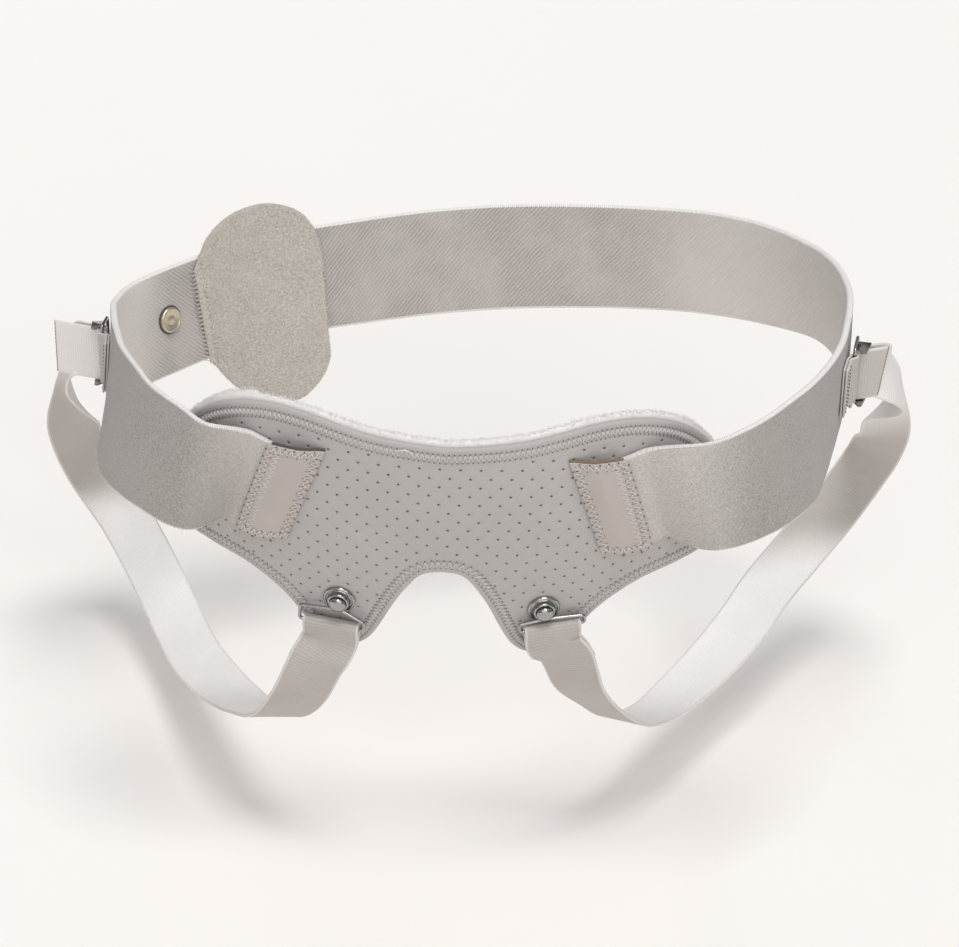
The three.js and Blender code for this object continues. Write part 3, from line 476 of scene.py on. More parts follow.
def webbing_look():
    """Elastic webbing: fine twill inside, napped grain outside, pale ribbed selvages, painted lighter and
    darker by place.
    """
    look = Look("elastic_webbing", 0.88, sheen=0.25)
    u, v, outside, edge = faces_of(look, web_width / 2)
    wander = look.times(look.noise(240, 3), 2.4)
    twill = look.wave(look.plus(look.less(look.times(u, 1.05), v), wander), 2.3)
    yarn = look.wave(look.scaled(u, 0.35, v), 1.1)
    inner = look.times(look.span(twill, 0.15, 0.85), look.scaled(yarn, 0.45, 0.5))
    nap = look.span(look.noise(1250, 4, 0.7), 0.3, 0.7)
    grain = look.plus(look.times(nap, 0.7), look.times(twill, 0.12))
    inner = look.plus(look.times(inner, 0.75), look.times(nap, 0.2))
    height = look.plus(look.times(inner, look.rest(outside)),
                       look.times(grain, outside))
    depth = look.times(height, look.scaled(outside, 0.37, 0.48))
    depth = look.plus(depth, look.scaled(outside, -0.01, 0.11))
    shade = look.mix(depth, (142, 136, 131), (228, 222, 217))
    patchy = look.mix(look.span(look.noise(35, 3), 0.35, 0.7), shade, (196, 190, 185))
    mottled_and_painted_light = look.mix(0.5, shade, patchy)
    x, y, z = look.parts(look.place())
    limb = look.span(look.positive(x), 0.085, 0.128)
    # Painted shade: the outer face is darkened on the side limbs, where less light falls on it.
    painted_limb_shade = look.times(outside, look.times(limb, 0.42))
    # Painted light: the inner face is made paler near the limbs' bends, where light falls on it.
    bend = look.most(look.span(x, 0.05, 0.13),
                     look.span(look.times(x, -1), 0.14, 0.162))
    fresh = look.times(look.rest(outside), look.times(bend, 0.7))
    mottled_and_painted_light = look.mix(painted_limb_shade, mottled_and_painted_light, (120, 114, 109))
    mottled_and_painted_light = look.mix(fresh, mottled_and_painted_light, (228, 222, 217))
    # Painted light: the front, away from the limbs, is made a little paler. Its pale selvages are toned down
    # there as painted shade against the light from above.
    front = look.span(look.times(y, -1), 0.06, 0.1)
    painted_front_light = look.times(front, look.rest(limb))
    mottled_and_painted_light = look.mix(look.times(painted_front_light, 0.2), mottled_and_painted_light, (236, 230, 225))
    rib = look.wave(u, 0.95)
    pale = look.mix(rib, (216, 211, 207), (250, 247, 244))
    normal = look.bump(height, 0.32, 0.9)
    edge = look.times(edge, look.scaled(painted_front_light, -0.65, 1.0))
    normal = look.bump(look.times(rib, edge), 0.12, 0.6, normal)
    normal = look.bump(look.noise(2600, 2), 0.08, 0.8, normal)
    return look.finish(look.mix(edge, mottled_and_painted_light, pale), normal)


def tape_look(name, painted_end_light, painted_top_light):
    """Woven elastic tape: fine cross ribs with firm, pale selvages, and light painted in as paler tape low
    down, high up and at the free end.
    """
    look = Look(name, 0.82, sheen=0.22)
    u, v, outside, selvage = faces_of(look, tape_width / 2)
    rib = look.wave(look.plus(u, look.times(look.noise(400, 3), 1.2)), 1.3)
    weave = look.plus(look.times(rib, 0.6), look.times(look.wave(v, 1.1), 0.4))
    x, y, z = look.parts(look.place())
    # Painted light: the tape is made paler low down, where the legs' bottoms face up to the light, and high
    # up by the given share.
    low = look.span(look.times(z, -1000), 110.0, 128.0)
    high = look.times(look.span(look.times(z, 1000), -60.0, -25.0), painted_top_light)
    # Painted light at the free end too, by the given share. On the right the end is left unpainted.
    end = look.rest(look.span(u, 20.0, 32.0))
    end_light = look.times(end, painted_end_light)
    right_end_unlit = look.times(end, look.times(look.span(x, 0.05, 0.08), 0.8))
    painted_bottom_light = look.span(look.times(z, -1000), 130.0, 146.0)
    low = look.most(look.times(low, outside), painted_bottom_light)
    # Lit and shaded tones of one tape, mixed by the painted light.
    grey = look.mix(look.times(weave, 0.7), (163, 157, 152), (192, 186, 181))
    light = look.mix(weave, (236, 232, 229), (250, 248, 246))
    pale = look.most(low, look.most(end_light, high))
    pale = look.times(pale, look.rest(right_end_unlit))
    shade = look.mix(pale, grey, light)
    soft = look.mix(look.times(look.noise(60, 3), 0.25), shade, (208, 203, 198))
    normal = look.bump(weave, 0.14, 0.7)
    normal = look.bump(look.noise(1500, 3), 0.14, 0.8, normal)
    return look.finish(look.mix(look.times(selvage, 0.7), soft, (222, 218, 214)), normal)


def cover_look():
    """Soft artificial leather: matt, very fine grain, with painted shade that darkens its pits by their
    depth.
    """
    look = Look("cover_leather", 0.62, sheen=0.12)
    grain = look.noise(1900, 4, 0.65)
    pores = look.cells(1500)
    _, tag = look.uv()
    # Painted shade: the holes darken with the depth they are sunk by.
    depth = look.span(look.times(tag, -1), 0.25, 0.75)
    face = look.mix(look.scaled(grain, 0.5, 0.1), (165, 161, 158), (188, 185, 182))
    broad = look.mix(look.span(look.noise(22, 3), 0.3, 0.7), face, (182, 177, 174))
    color = look.mix(depth, look.mix(0.45, face, broad), (104, 99, 96))
    normal = look.bump(look.plus(grain, look.times(pores, 0.6)), 0.09, 0.5)
    return look.finish(color, normal)


def patch_look():
    look = Look("patch_leather", 0.58, sheen=0.15)
    grain = look.noise(1700, 4, 0.6)
    face = look.mix(look.scaled(grain, 0.6, 0.1), (170, 162, 157), (190, 182, 177))
    broad = look.mix(look.span(look.noise(60, 2), 0.35, 0.65), face, (185, 176, 171))
    normal = look.bump(grain, 0.08, 0.5)
    return look.finish(look.mix(0.4, face, broad), normal)


def fleece_look():
    look = Look("fleece_lining", 0.95, sheen=0.4)
    tuft = look.noise(700, 5, 0.75)
    nap = look.noise(2300, 3, 0.7)
    color = look.mix(tuft, (228, 224, 221), (250, 248, 246))
    normal = look.bump(tuft, 0.35, 0.7)
    normal = look.bump(nap, 0.12, 0.7, normal)
    return look.finish(color, normal)


def felt_look():
    look = Look("closure_felt", 0.97, sheen=0.3)
    clump = look.noise(1150, 4, 0.65)
    nap = look.noise(2700, 4, 0.75)
    both = look.plus(look.times(clump, 0.45), look.times(nap, 0.55))
    color = look.mix(look.span(both, 0.36, 0.64), (160, 154, 144), (213, 207, 198))
    normal = look.bump(both, 0.5, 0.8)
    return look.finish(color, normal)


def thread_look(name, dark, light):
    look = Look(name, 0.7, sheen=0.2)
    twist = look.noise(3200, 2)
    return look.finish(look.mix(twist, dark, light), look.bump(twist, 0.06, 0.6))


def metal_look(name, dark, light, low, high):
    """Bright plate with faint wear: roughness and tint wander a little."""
    look = Look(name, low, metallic=1.0)
    wear = look.noise(420, 4, 0.6)
    spots = look.span(look.noise(1500, 2), 0.55, 0.75)
    color = look.mix(look.times(spots, 0.5), light, dark)
    rough = look.scaled(wear, high - low, low)
    return look.finish(color, look.bump(wear, 0.02, 0.25), rough)


looks = {
    "webbing": webbing_look(),
    "tape": tape_look("elastic_tape", 0.75, 0.7),
    "loop": tape_look("loop_tape", 0.0, 0.1),
    "cover": cover_look(),
    "patch": patch_look(),
    "fleece": fleece_look(),
    "felt": felt_look(),
    "thread": thread_look("panel_thread", (178, 173, 169), (204, 199, 195)),
    "cream": thread_look("patch_thread", (187, 180, 175), (214, 208, 203)),
    "stray": thread_look("stray_thread", (226, 222, 218), (246, 243, 240)),
    "raw": thread_look("raw_edge", (74, 62, 48), (150, 132, 104)),
    "dark": thread_look("dark_edge", (46, 42, 40), (96, 90, 86)),
    # The dark caps in needle holes and perforations are painted shade.
    "pit": thread_look("needle_hole_shade", (80, 75, 72), (112, 106, 102)),
    "hole": thread_look("perforation", (98, 94, 91), (116, 111, 108)),
    "chrome": metal_look("bright_plate", (58, 56, 55), (168, 167, 166), 0.06, 0.18),
    "brass": metal_look("pale_brass", (150, 140, 116), (206, 198, 178), 0.26, 0.42),
}


# Meshes: helpers
def piece(name, points, faces, look, slot, replaces=None, uvs=None):
    """One closed mesh from points in millimetres, riding on the part."""
    mesh = bpy.data.meshes.new(name)
    mesh.from_pydata((np.asarray(points, float) * MM).tolist(), [], [list(map(int, f)) for f in faces])
    mesh.update()
    if uvs is not None:
        layer = mesh.uv_layers.new(name="Sizes")
        loops = np.empty(len(mesh.loops), dtype=np.int32)
        mesh.loops.foreach_get("vertex_index", loops)
        layer.data.foreach_set("uv", (np.asarray(uvs, float)[loops] * MM).astype(np.float32).ravel())
    mesh.polygons.foreach_set("use_smooth", np.full(len(mesh.polygons), True))
    mesh.materials.append(looks[look])
    made = bpy.data.objects.new(name, mesh)
    bpy.context.scene.collection.objects.link(made)
    turn_out(mesh)
    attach(made, "root")
    if replaces:
        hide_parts(replaces)
    return made


def turn_out(mesh):
    """Turns the faces round where the mesh's volume comes out negative."""
    mesh.calc_loop_triangles()
    count = len(mesh.loop_triangles)
    corners = np.empty(count * 3, dtype=np.int32)
    mesh.loop_triangles.foreach_get("vertices", corners)
    places = np.empty(len(mesh.vertices) * 3)
    mesh.vertices.foreach_get("co", places)
    a, b, c = (places.reshape(-1, 3)[corners.reshape(-1, 3)[:, k]] for k in range(3))
    if np.sum(a * np.cross(b, c)) < 0:
        mesh.flip_normals()


def grid_faces(rows, columns, wrap=False):
    """Quads of a grid of rows by columns points, wrapping across the columns where asked."""
    i = np.arange(rows - 1)[:, None]
    j = np.arange(columns if wrap else columns - 1)[None, :]
    after = (j + 1) % columns
    row, below = i * columns, (i + 1) * columns
    return np.stack([row + j, below + j, below + after, row + after], -1).reshape(-1, 4).tolist()


def ring_solid(rings, closed=False):
    """Points and faces of a solid through closed rings. Its ends are capped unless it closes on itself."""
    rings = np.asarray(rings, float)
    count, around = rings.shape[:2]
    faces = grid_faces(count, around, wrap=True)
    last = (count - 1) * around
    if closed:
        faces += [[last + k, k, (k + 1) % around, last + (k + 1) % around] for k in range(around)]
    else:
        faces.append(list(range(around)))
        faces.append([last + k for k in reversed(range(around))])
    return rings.reshape(-1, 3), faces


def together(solids):
    """Points and faces of several solids as one."""
    points, faces, base = [], [], 0
    for some, others in solids:
        points.append(some)
        faces += [[k + base for k in face] for face in others]
        base += len(some)
    return np.vstack(points), faces


def band_profile(width, thick, radius, across_steps):
    """A rounded flat section: points across and off, with a coordinate for the weave. The inner face counts
    from the middle, and the outer face from 110."""
    flat = np.linspace(-width / 2 + radius, width / 2 - radius, across_steps)
    turns = np.radians(np.linspace(-90, 90, 9)[1:-1])
    edge = np.stack([width / 2 - radius + radius * np.cos(turns), np.sin(turns) * thick / 2], -1)
    inner = np.stack([flat, np.full_like(flat, -thick / 2)], -1)
    outer = np.stack([flat[::-1], np.full_like(flat, thick / 2)], -1)
    section = np.vstack([inner, edge, outer, edge[::-1] * [-1, 1]])
    rim = np.full(len(edge), width / 2)
    return section, np.concatenate([flat, rim, 110 - flat[::-1], -rim])


def band_piece(name, band, section_sizes, pitch, look, slot, replaces, slant=None, relief=0.0):
    """A band along its stations, with soft edges and a little waviness."""
    width, thick, radius, across_steps = section_sizes
    distance = np.linspace(0, band.length, max(int(band.length / pitch), 8) + 1)
    section, weave = band_profile(width, thick, radius, across_steps)
    across = np.tile(section[:, 0], len(distance))
    along = np.repeat(distance, len(section))
    ease = np.clip(np.minimum(distance, band.length - distance) / (thick * 0.5), 0, 1)
    closing = np.repeat(0.55 + 0.45 * np.sqrt(1 - (1 - ease) ** 2), len(section))
    ripple = relief * (np.sin(along / 7.1 + across / 9) + np.sin(along / 3.7 - across / 5.3)) * 0.5
    off = np.tile(section[:, 1], len(distance)) * closing + ripple
    uvs = np.stack([along, np.tile(weave, len(distance))], -1)
    if slant is not None:
        along = along + slant(along, across)
    rings = band.point(along, across, off).reshape(len(distance), -1, 3)
    return piece(name, *ring_solid(rings), look, slot, replaces, uvs)


def tube(points, radius, around, normal=None, closed=False):
    """Rings of a round wire along points."""
    points = np.asarray(points, float)
    if closed:
        tangent = unit(np.roll(points, -1, 0) - np.roll(points, 1, 0))
    else:
        tangent = unit(np.gradient(points, axis=0))
    if normal is None:
        normal = np.cross(tangent, np.roll(tangent, 1, 0)).sum(0)
        normal = unit(normal) if np.linalg.norm(normal) > 1e-6 else np.array([0.3, 0.5, 0.81])
    side = unit(np.cross(tangent, normal))
    other = np.cross(side, tangent)
    turns = np.linspace(0, 2 * math.pi, around, endpoint=False)
    ring = side[:, None] * np.cos(turns)[None, :, None] + other[:, None] * np.sin(turns)[None, :, None]
    return points[:, None] + ring * np.reshape(radius, (-1, 1, 1))


def wire(name, points, radius, around, look, slot, replaces=None, normal=None):
    """A round wire along points. It closes on itself where the normal of its plane is given."""
    closed = normal is not None
    rings = tube(points, radius, around, normal, closed)
    return piece(name, *ring_solid(rings, closed), look, slot, replaces)


def stitches(name, arcs, radius, look, slot):
    """Many short threads in one piece. Each arc is a run of points, and its ends taper into the cloth."""
    solids = []
    for arc in arcs:
        thin = radius * np.sin(np.linspace(0.35, math.pi - 0.35, len(arc))) ** 0.4
        solids.append(ring_solid(tube(arc, thin, 6)))
    return piece(name, *together(solids), look, slot)


def arc_between(a, b, normal, lift, sink):
    """A thread from one needle hole to the next, over the surface."""
    s = np.linspace(0, 1, 7)
    height = -sink + (lift + sink) * np.sin(np.pi * s) ** 0.5
    return a + (b - a) * s[:, None] + normal * height[:, None]


def turned(profile, segments, point, direction, ring=False):
    """A turned solid: profile rows are radius and height along direction. A ring has a hole through it."""
    direction = unit(np.asarray(direction, float))
    side = unit(np.cross(direction, [0.3, 0.9, 0.2]))
    turns = np.linspace(0, 2 * math.pi, segments, endpoint=False)
    spoke = side * np.cos(turns)[:, None] + np.cross(direction, side) * np.sin(turns)[:, None]
    rings = [np.asarray(point) + spoke * max(radius, 0.02) + direction * height for radius, height in profile]
    return ring_solid(rings, ring)


def hairs(name, roots, ways, lengths, radius, look, slot):
    """Short bent hairs in one piece."""
    solids = []
    thin = radius * np.array([1, 1, 0.8, 0.3])
    bends = rng.normal(0, 0.35, (len(roots), 3))
    for root, way, length, bend in zip(roots, unit(ways), lengths, bends):
        s = np.linspace(0, 1, 4)[:, None]
        line = root + way * length * s + bend * length * s**2
        solids.append(ring_solid(tube(line, thin, 3, np.array([0.31, 0.77, 0.55]))))
    return piece(name, *together(solids), look, slot)


# Flat sheets with soft edges
def sheet_solid(place, us, vs, half, relief=None):
    """Points, faces and coordinates of a sheet. Place gives its points, and half gives half its thickness."""
    u, v = (grid_part.ravel() for grid_part in np.meshgrid(us, vs, indexing="ij"))
    thick = half(u, v)
    bumps = relief(u, v) if relief else 0 * u
    n, m = len(us), len(vs)
    ids = np.arange(n * m).reshape(n, m)
    loop = np.concatenate([ids[:-1, 0], ids[-1, :-1], ids[:0:-1, -1], ids[0, :0:-1]])
    after = np.roll(loop, -1)
    faces = grid_faces(n, m)
    faces += [[k + n * m for k in reversed(face)] for face in grid_faces(n, m)]
    faces += np.stack([after, loop, loop + n * m, after + n * m], -1).tolist()
    uvs = np.vstack([np.stack([u, v], -1)] * 2)
    return np.vstack([place(u, v, thick + bumps), place(u, v, -thick)]), faces, uvs


def swung(start, end, swing, count):
    """Spots that swing from side to side from start to end, in the sheet's own coordinates."""
    k = np.arange(count + 1)[:, None]
    aside = np.where(k % 2, 0.5, -0.5) * np.asarray(swing)
    return np.asarray(start) + np.subtract(end, start) * k / count + aside


def zigzag(place, spots, level, lift):
    """Threads from spot to spot over a sheet."""
    ground = place(spots[:, 0], spots[:, 1], level)
    normals = unit(place(spots[:, 0], spots[:, 1], level + 1) - ground)
    return [arc_between(ground[i], ground[i + 1], normals[i], lift, 0.12) for i in range(len(spots) - 1)]


def dots(name, spots, ways, radius, look, slot):
    """Needle holes, as small dark caps flush with the surface: painted shade in each hole."""
    profile = [(0, -0.2), (radius * 0.9, -0.2), (radius, 0), (radius * 0.6, 0.05), (0, 0.06)]
    caps = [turned(profile, 8, spot, way) for spot, way in zip(spots, ways)]
    return piece(name, *together(caps), look, slot)


def soft_edge(distance, radius):
    """How full a soft edge is at a distance in from it."""
    return 0.3 + 0.7 * np.sqrt(1 - (1 - np.clip(distance / radius, 0, 1)) ** 2)


# Belts
bands = {name: belt_band(side) for name, side in sides.items()}
for name, band in bands.items():
    band_piece("belt_webbing_" + name, band, (web_width, web_thick, 1.3, 17), 0.9, "webbing", "webbing",
               "belt_" + name, relief=0.1)


# Panel: the outline and its seam
def even(ring, count):
    """Evenly spaced points along a closed ring."""
    loop = np.vstack([ring, ring[:1]])
    far = np.r_[0, np.cumsum(np.linalg.norm(np.diff(loop, axis=0), axis=1))]
    wanted = np.linspace(0, far[-1], count, endpoint=False)
    return np.stack([np.interp(wanted, far, loop[:, k]) for k in (0, 1)], -1)


def outline(count, grow_top=0.0, grow_side=0.0):
    """The panel's outline as points (out, height), clockwise from the left, with its corners eased."""
    out = np.sin(np.linspace(-math.pi / 2, math.pi / 2, 500)) * half_span
    low, high = panel_limits(out)
    ring = np.vstack([np.stack([out, high + grow_top], -1), np.stack([out, low - grow_side], -1)[::-1]])
    ring[:, 0] *= 1 + grow_side / half_span
    ring = even(ring, 620)
    for _ in range(6):
        ring = (np.roll(ring, 1, 0) + 2 * ring + np.roll(ring, -1, 0)) / 4
    return even(ring, count)


def inset(ring, distance):
    """A clockwise ring moved inwards."""
    way = np.roll(ring, -1, 0) - np.roll(ring, 1, 0)
    return ring + unit(np.stack([way[:, 1], -way[:, 0]], -1)) * distance


def nearest(spots, targets):
    """Each spot's distance to the nearest target."""
    result = np.empty(len(spots))
    for k in range(0, len(spots), 2000):
        result[k:k + 2000] = np.sqrt(((spots[k:k + 2000, None] - targets[None]) ** 2).sum(-1).min(1))
    return result


def inside(spots, ring):
    """Whether each spot lies inside the ring."""
    x, y = spots[:, 0:1], spots[:, 1:2]
    a, b = ring, np.roll(ring, -1, 0)
    crosses = (a[None, :, 1] > y) != (b[None, :, 1] > y)
    reach = a[None, :, 0] + (y - a[None, :, 1]) / (b[:, 1] - a[:, 1] + 1e-12)[None] * (b - a)[None, :, 0]
    return (crosses & (x < reach)).sum(1) % 2 == 1


def triangles_of(spots, border):
    """Triangles of flat spots whose first rows are the outline."""
    bounds = [(k, (k + 1) % border) for k in range(border)]
    found = delaunay_2d_cdt([Vector(spot) for spot in spots.tolist()], bounds, [], 1, 1e-5)
    source = [ids[0] for ids in found[3]]
    return [[source[k] for k in face] for face in found[2]]


def layered(name, spots, heights, tags, edge, rings, back_spots, back_height, look, slot, replaces):
    """A layer of the panel: its front through spots, outline first, then its edge through rings of inset
    and offset, and its back."""
    border = len(edge)
    faces = triangles_of(spots, border)
    points = [on_panel(spots[:, 0], spots[:, 1], heights)[0]]
    uvs = [np.stack([spots[:, 0], tags], -1)]
    before, count = np.arange(border), len(spots)
    for depth, offset in rings:
        ring = inset(edge, depth)
        points.append(on_panel(ring[:, 0], ring[:, 1], offset)[0])
        uvs.append(np.zeros((border, 2)))
        ids = np.arange(count, count + border)
        after = np.roll(np.arange(border), -1)
        faces += np.stack([before, before[after], ids[after], ids], -1).tolist()
        before, count = ids, count + border
    last = np.vstack([inset(edge, rings[-1][0]), back_spots])
    ids = np.r_[before, np.arange(count, count + len(back_spots))]
    faces += [[ids[k] for k in reversed(face)] for face in triangles_of(last, border)]
    points.append(on_panel(back_spots[:, 0], back_spots[:, 1], back_height)[0])
    uvs.append(np.zeros((len(back_spots), 2)))
    used = np.unique(np.concatenate([np.asarray(face) for face in faces]))
    fresh = np.full(count + len(back_spots), -1)
    fresh[used] = np.arange(len(used))
    faces = [fresh[np.asarray(face)].tolist() for face in faces]
    return piece(name, np.vstack(points)[used], faces, look, slot, replaces, np.vstack(uvs)[used])


rim = outline(620)
seam_outer, seam_inner, seam_pitch = 3.4, 6.4, 2.2
seam_count = int(np.linalg.norm(rim - np.roll(rim, -1, 0), axis=1).sum() / seam_pitch)
seam_rim = outline(seam_count * 2)
outer_holes, inner_holes = inset(seam_rim, seam_outer)[0::2], inset(seam_rim, seam_inner)[1::2]
needle_holes = np.vstack([outer_holes, inner_holes])

# Panel: the perforated cover
hole_pitch, hole_radius, hole_depth = 8.8, 0.62, 0.9
steps = np.arange(-60, 61)
holes = np.array([(i, j) for i in steps for j in steps if (i + j) % 2 == 0]) * hole_pitch / 2 + [1.5, 0.8]
holes = holes[inside(holes, rim)]
holes = holes[nearest(holes, rim) > seam_inner + 1.8]
anchors = np.array([[-eyelet_out, -eyelet_down], [eyelet_out, -eyelet_down]])
holes = holes[nearest(holes, anchors) > eyelet_outer + 1]


def cover_height(spots, from_rim):
    """The cover's relief: a rolled rim, two sewn lines with a puffed band between, and a soft field."""
    roll = 1.1 * (1 - np.sqrt(1 - (1 - np.clip(from_rim / 1.3, 0, 1)) ** 2))
    dip = lambda at, wide, deep: deep * np.exp(-(((from_rim - at) / wide) ** 2))
    middle = (seam_outer + seam_inner) / 2
    soft = 0.07 * (np.sin(spots[:, 0] / 11 + 1.3) * np.cos(spots[:, 1] / 8.7) - 1)
    return soft - roll - dip(seam_outer, 0.7, 0.36) - dip(seam_inner, 0.75, 0.42) + dip(middle, 0.9, 0.08)


spots, heights, tags = [rim], [cover_height(rim, 0 * rim[:, 0])], [0 * rim[:, 0]]


def scatter(where, height, tag=0.0):
    spots.append(where)
    heights.append(np.broadcast_to(height, len(where)))
    tags.append(np.full(len(where), tag))


for depth in (0.3, 0.8, 1.5, 2.4, 3.4, 4.2, 5.05, 5.9, 6.7, 7.8, 9.2):
    ring = inset(rim, depth)
    if depth > 1:
        ring = ring[np.abs(nearest(ring, rim) - depth) < 0.25]
    ring = ring[(nearest(ring, needle_holes) > 0.6) & (nearest(ring, holes) > 1.0)]
    scatter(ring, cover_height(ring, depth))
# Holes are sunk into the cover. Each of their points is tagged with its depth, by which the cover paints
# shade into them.
for middles, radius, deep, corners in ((holes, hole_radius, hole_depth, 8), (needle_holes, 0.34, 0.5, 6)):
    turns = np.linspace(0, 2 * math.pi, corners, endpoint=False)
    circle = np.stack([np.cos(turns), np.sin(turns)], -1)
    base = cover_height(middles, nearest(middles, rim))
    for share, sink in ((1.3, 0.0), (1.02, 0.12), (0.9, 1.0)):
        around = (middles[:, None] + circle[None] * radius * share).reshape(-1, 2)
        scatter(around, np.repeat(base, corners) - sink * deep, -sink * deep)
    scatter(middles, base - deep, -deep)
grid = np.array([(x, y) for x in np.arange(-131, 131, 2.4) for y in np.arange(-84, 45, 2.4)])
grid = grid + rng.uniform(-0.25, 0.25, grid.shape)
grid = grid[inside(grid, rim)]
grid = grid[nearest(grid, rim) > 10.2]
field = grid[nearest(grid, holes) > 1.2]
scatter(field, cover_height(field, nearest(field, rim)))
cover = layered("panel_cover", np.vstack(spots), np.concatenate(heights), np.concatenate(tags), rim,
                [(0, -1.9), (0.4, -2.6), (1.2, -panel_thick)], grid[::3], -panel_thick, "cover", "cover",
                "front_panel")

arcs = []
after = np.roll(outer_holes, -1, 0)
for starts, ends in ((outer_holes, inner_holes), (inner_holes, after)):
    ground, normals = on_panel(starts[:, 0], starts[:, 1], -0.3)
    over, _ = on_panel(ends[:, 0], ends[:, 1], -0.3)
    arcs += [arc_between(a, b, normal, 0.5, 0.12) for a, b, normal in zip(ground, over, normals)]
stitches("panel_seam_thread", arcs, 0.42, "thread", "cover")
s = np.linspace(0, 1, 24)
ground, _ = on_panel(-21.5 + 7 * s, 30.4 + 1.8 * np.sin(math.pi * s) - s, 0.25 + 0.5 * np.sin(math.pi * s))
wire("loose_thread", ground, 0.24 * np.sin(np.linspace(0.5, 2.64, 24)), 6, "stray", "cover")

# Panel: the fleece lining, with its nap over the top edge
edge = outline(620, lining_top, lining_side)
fold_step = smooth((-84 - edge[:, 0]) / 2) * smooth((edge[:, 0] + 116) / 18) * (edge[:, 1] > 0)
edge[:, 1] += 1.5 * fold_step
edge = edge + rng.normal(0, 0.1, edge.shape)
lining_front = -(panel_thick + clearance)
lining_back = lining_front - lining_thick
spots = [edge]
heights = [np.full(len(edge), lining_front - 1.0)]
for depth, drop in ((0.4, 0.4), (1.0, 0.1), (2.4, 0)):
    ring = inset(edge, depth)
    spots.append(ring)
    heights.append(np.full(len(ring), lining_front - drop))
inner = grid[nearest(grid, edge) > 4]
spots.append(inner)
heights.append(np.full(len(inner), lining_front - 0.05))
back_height = lining_back + rng.uniform(0, 0.5, len(inner))
spots, heights = np.vstack(spots), np.concatenate(heights)
lining_rings = [(0, lining_back + 1), (0.4, lining_back + 0.4), (1.1, lining_back + 0.1)]
lining = layered("lining_fleece", spots, heights, 0 * heights, edge, lining_rings, inner, back_height,
                 "fleece", "fleece", "panel_lining")


fleece_hairs = 6500
picks = rng.choice(np.flatnonzero(edge[:, 1] > 0), fleece_hairs)
along_edge = edge[picks] + rng.uniform(-0.6, 0.6, (fleece_hairs, 2))
through = rng.uniform(lining_back, lining_front, fleece_hairs)
roots, _ = on_panel(along_edge[:, 0], along_edge[:, 1] - 0.4, through)
ways = np.array([0, 0, 1]) + rng.normal(0, 0.7, roots.shape)
hairs("lining_nap", roots, ways, rng.uniform(0.6, 1.4, len(roots)), 0.06, "fleece", "fleece")


# Panel: needle holes beside its seam, and a dark cap in each perforation, as painted shade in the holes
first, last = seam_outer - 0.75, seam_inner + 0.75
beside = np.vstack([inset(seam_rim, first)[0::2], inset(seam_rim, last)[1::2]])
surface = cover_height(beside, np.repeat([first, last], seam_count))
foot, facing = on_panel(beside[:, 0], beside[:, 1], surface + 0.02)
dots("panel_needle_holes", foot, facing, 0.3, "pit", "cover")
deep = cover_height(holes, nearest(holes, rim)) - 0.22
foot, facing = on_panel(holes[:, 0], holes[:, 1], deep)
dots("panel_perforations", foot, facing, 0.54, "hole", "cover")

# Closure tab of felt, with its seam and nap
left, right = bands["left"], bands["right"]
places = [left.axes(felt_lap), left.axes(0)] + [right.axes(felt_length / 5 * k) for k in range(5)]
tab_band = Band(np.vstack([p[0] for p in places]), np.vstack([p[2] for p in places]), right.facing)
tab_middle = -(web_thick / 2 + clearance + felt_thick / 2)


def tab_limits(u):
    share = u / felt_length
    return -between(tab_outline, 2, share) * felt_height, between(tab_outline, 1, share) * felt_height


def tab_place(u, v, off):
    """v runs from 0 at the lower edge to 1 at the upper one."""
    low, high = tab_limits(u)
    return tab_band.point(u, low + (high - low) * v, tab_middle - off)


def tab_half(u, v):
    low, high = tab_limits(u)
    tall = (high - low) * np.minimum(v, 1 - v)
    seam = 0.5 + 0.5 * smooth(u / 4.5)
    return felt_thick / 2 * seam * soft_edge(np.minimum(np.minimum(tall, felt_length - u), u + 0.4), 1.1)


edge_steps = np.array([0, 0.15, 0.4, 0.8, 1.3])
us = np.r_[edge_steps, np.linspace(2, felt_length - 2, 58), felt_length - edge_steps[::-1]]
vs = np.r_[edge_steps, np.linspace(2, 98, 86), 100 - edge_steps[::-1]] / 100
rough = lambda u, v: rng.uniform(-0.05, 0.05, len(u)) + 0.1 * np.sin(u / 6.5) * np.cos(v * 16)
points, faces, uvs = sheet_solid(tab_place, us, vs, tab_half, rough)
tab = piece("closure_felt", points, faces, "felt", "felt", "closure_tab", uvs)
low, high = tab_limits(us)

rim_hairs, face_hairs, end_hairs = 1500, 3200, 700
v = rng.uniform(0, 1, rim_hairs)
u = rng.uniform(0.5, felt_length, rim_hairs)
at_end = rng.random(rim_hairs) < 0.4
u = np.where(at_end, felt_length - 0.3, u)
v = np.where(at_end, v, np.where(rng.random(rim_hairs) < 0.5, 0.004, 0.996))
roots = tab_place(u, v, rng.uniform(-0.5, 0.5, rim_hairs) * felt_thick)
centre = tab_place(np.full(rim_hairs, felt_length * 0.5), np.full(rim_hairs, 0.5), 0)
ways = unit(roots - centre) + rng.normal(0, 0.6, roots.shape)
lengths = rng.uniform(0.4, 1.1, rim_hairs)
v, u = rng.uniform(0.02, 0.98, face_hairs), rng.uniform(2, felt_length - 1.5, face_hairs)
base = tab_place(u, v, felt_thick / 2 + 0.02)
_, tangent, side, normal, _ = tab_band.axes(u)
lying = tangent * rng.choice([-1, 1], face_hairs)[:, None] - normal * 0.12
lying = lying + side * rng.normal(0, 0.25, face_hairs)[:, None]
hairs("closure_nap", np.vstack([roots, base]), np.vstack([ways, lying]),
      np.r_[lengths, rng.uniform(0.5, 1.2, face_hairs)], 0.05, "felt", "felt")

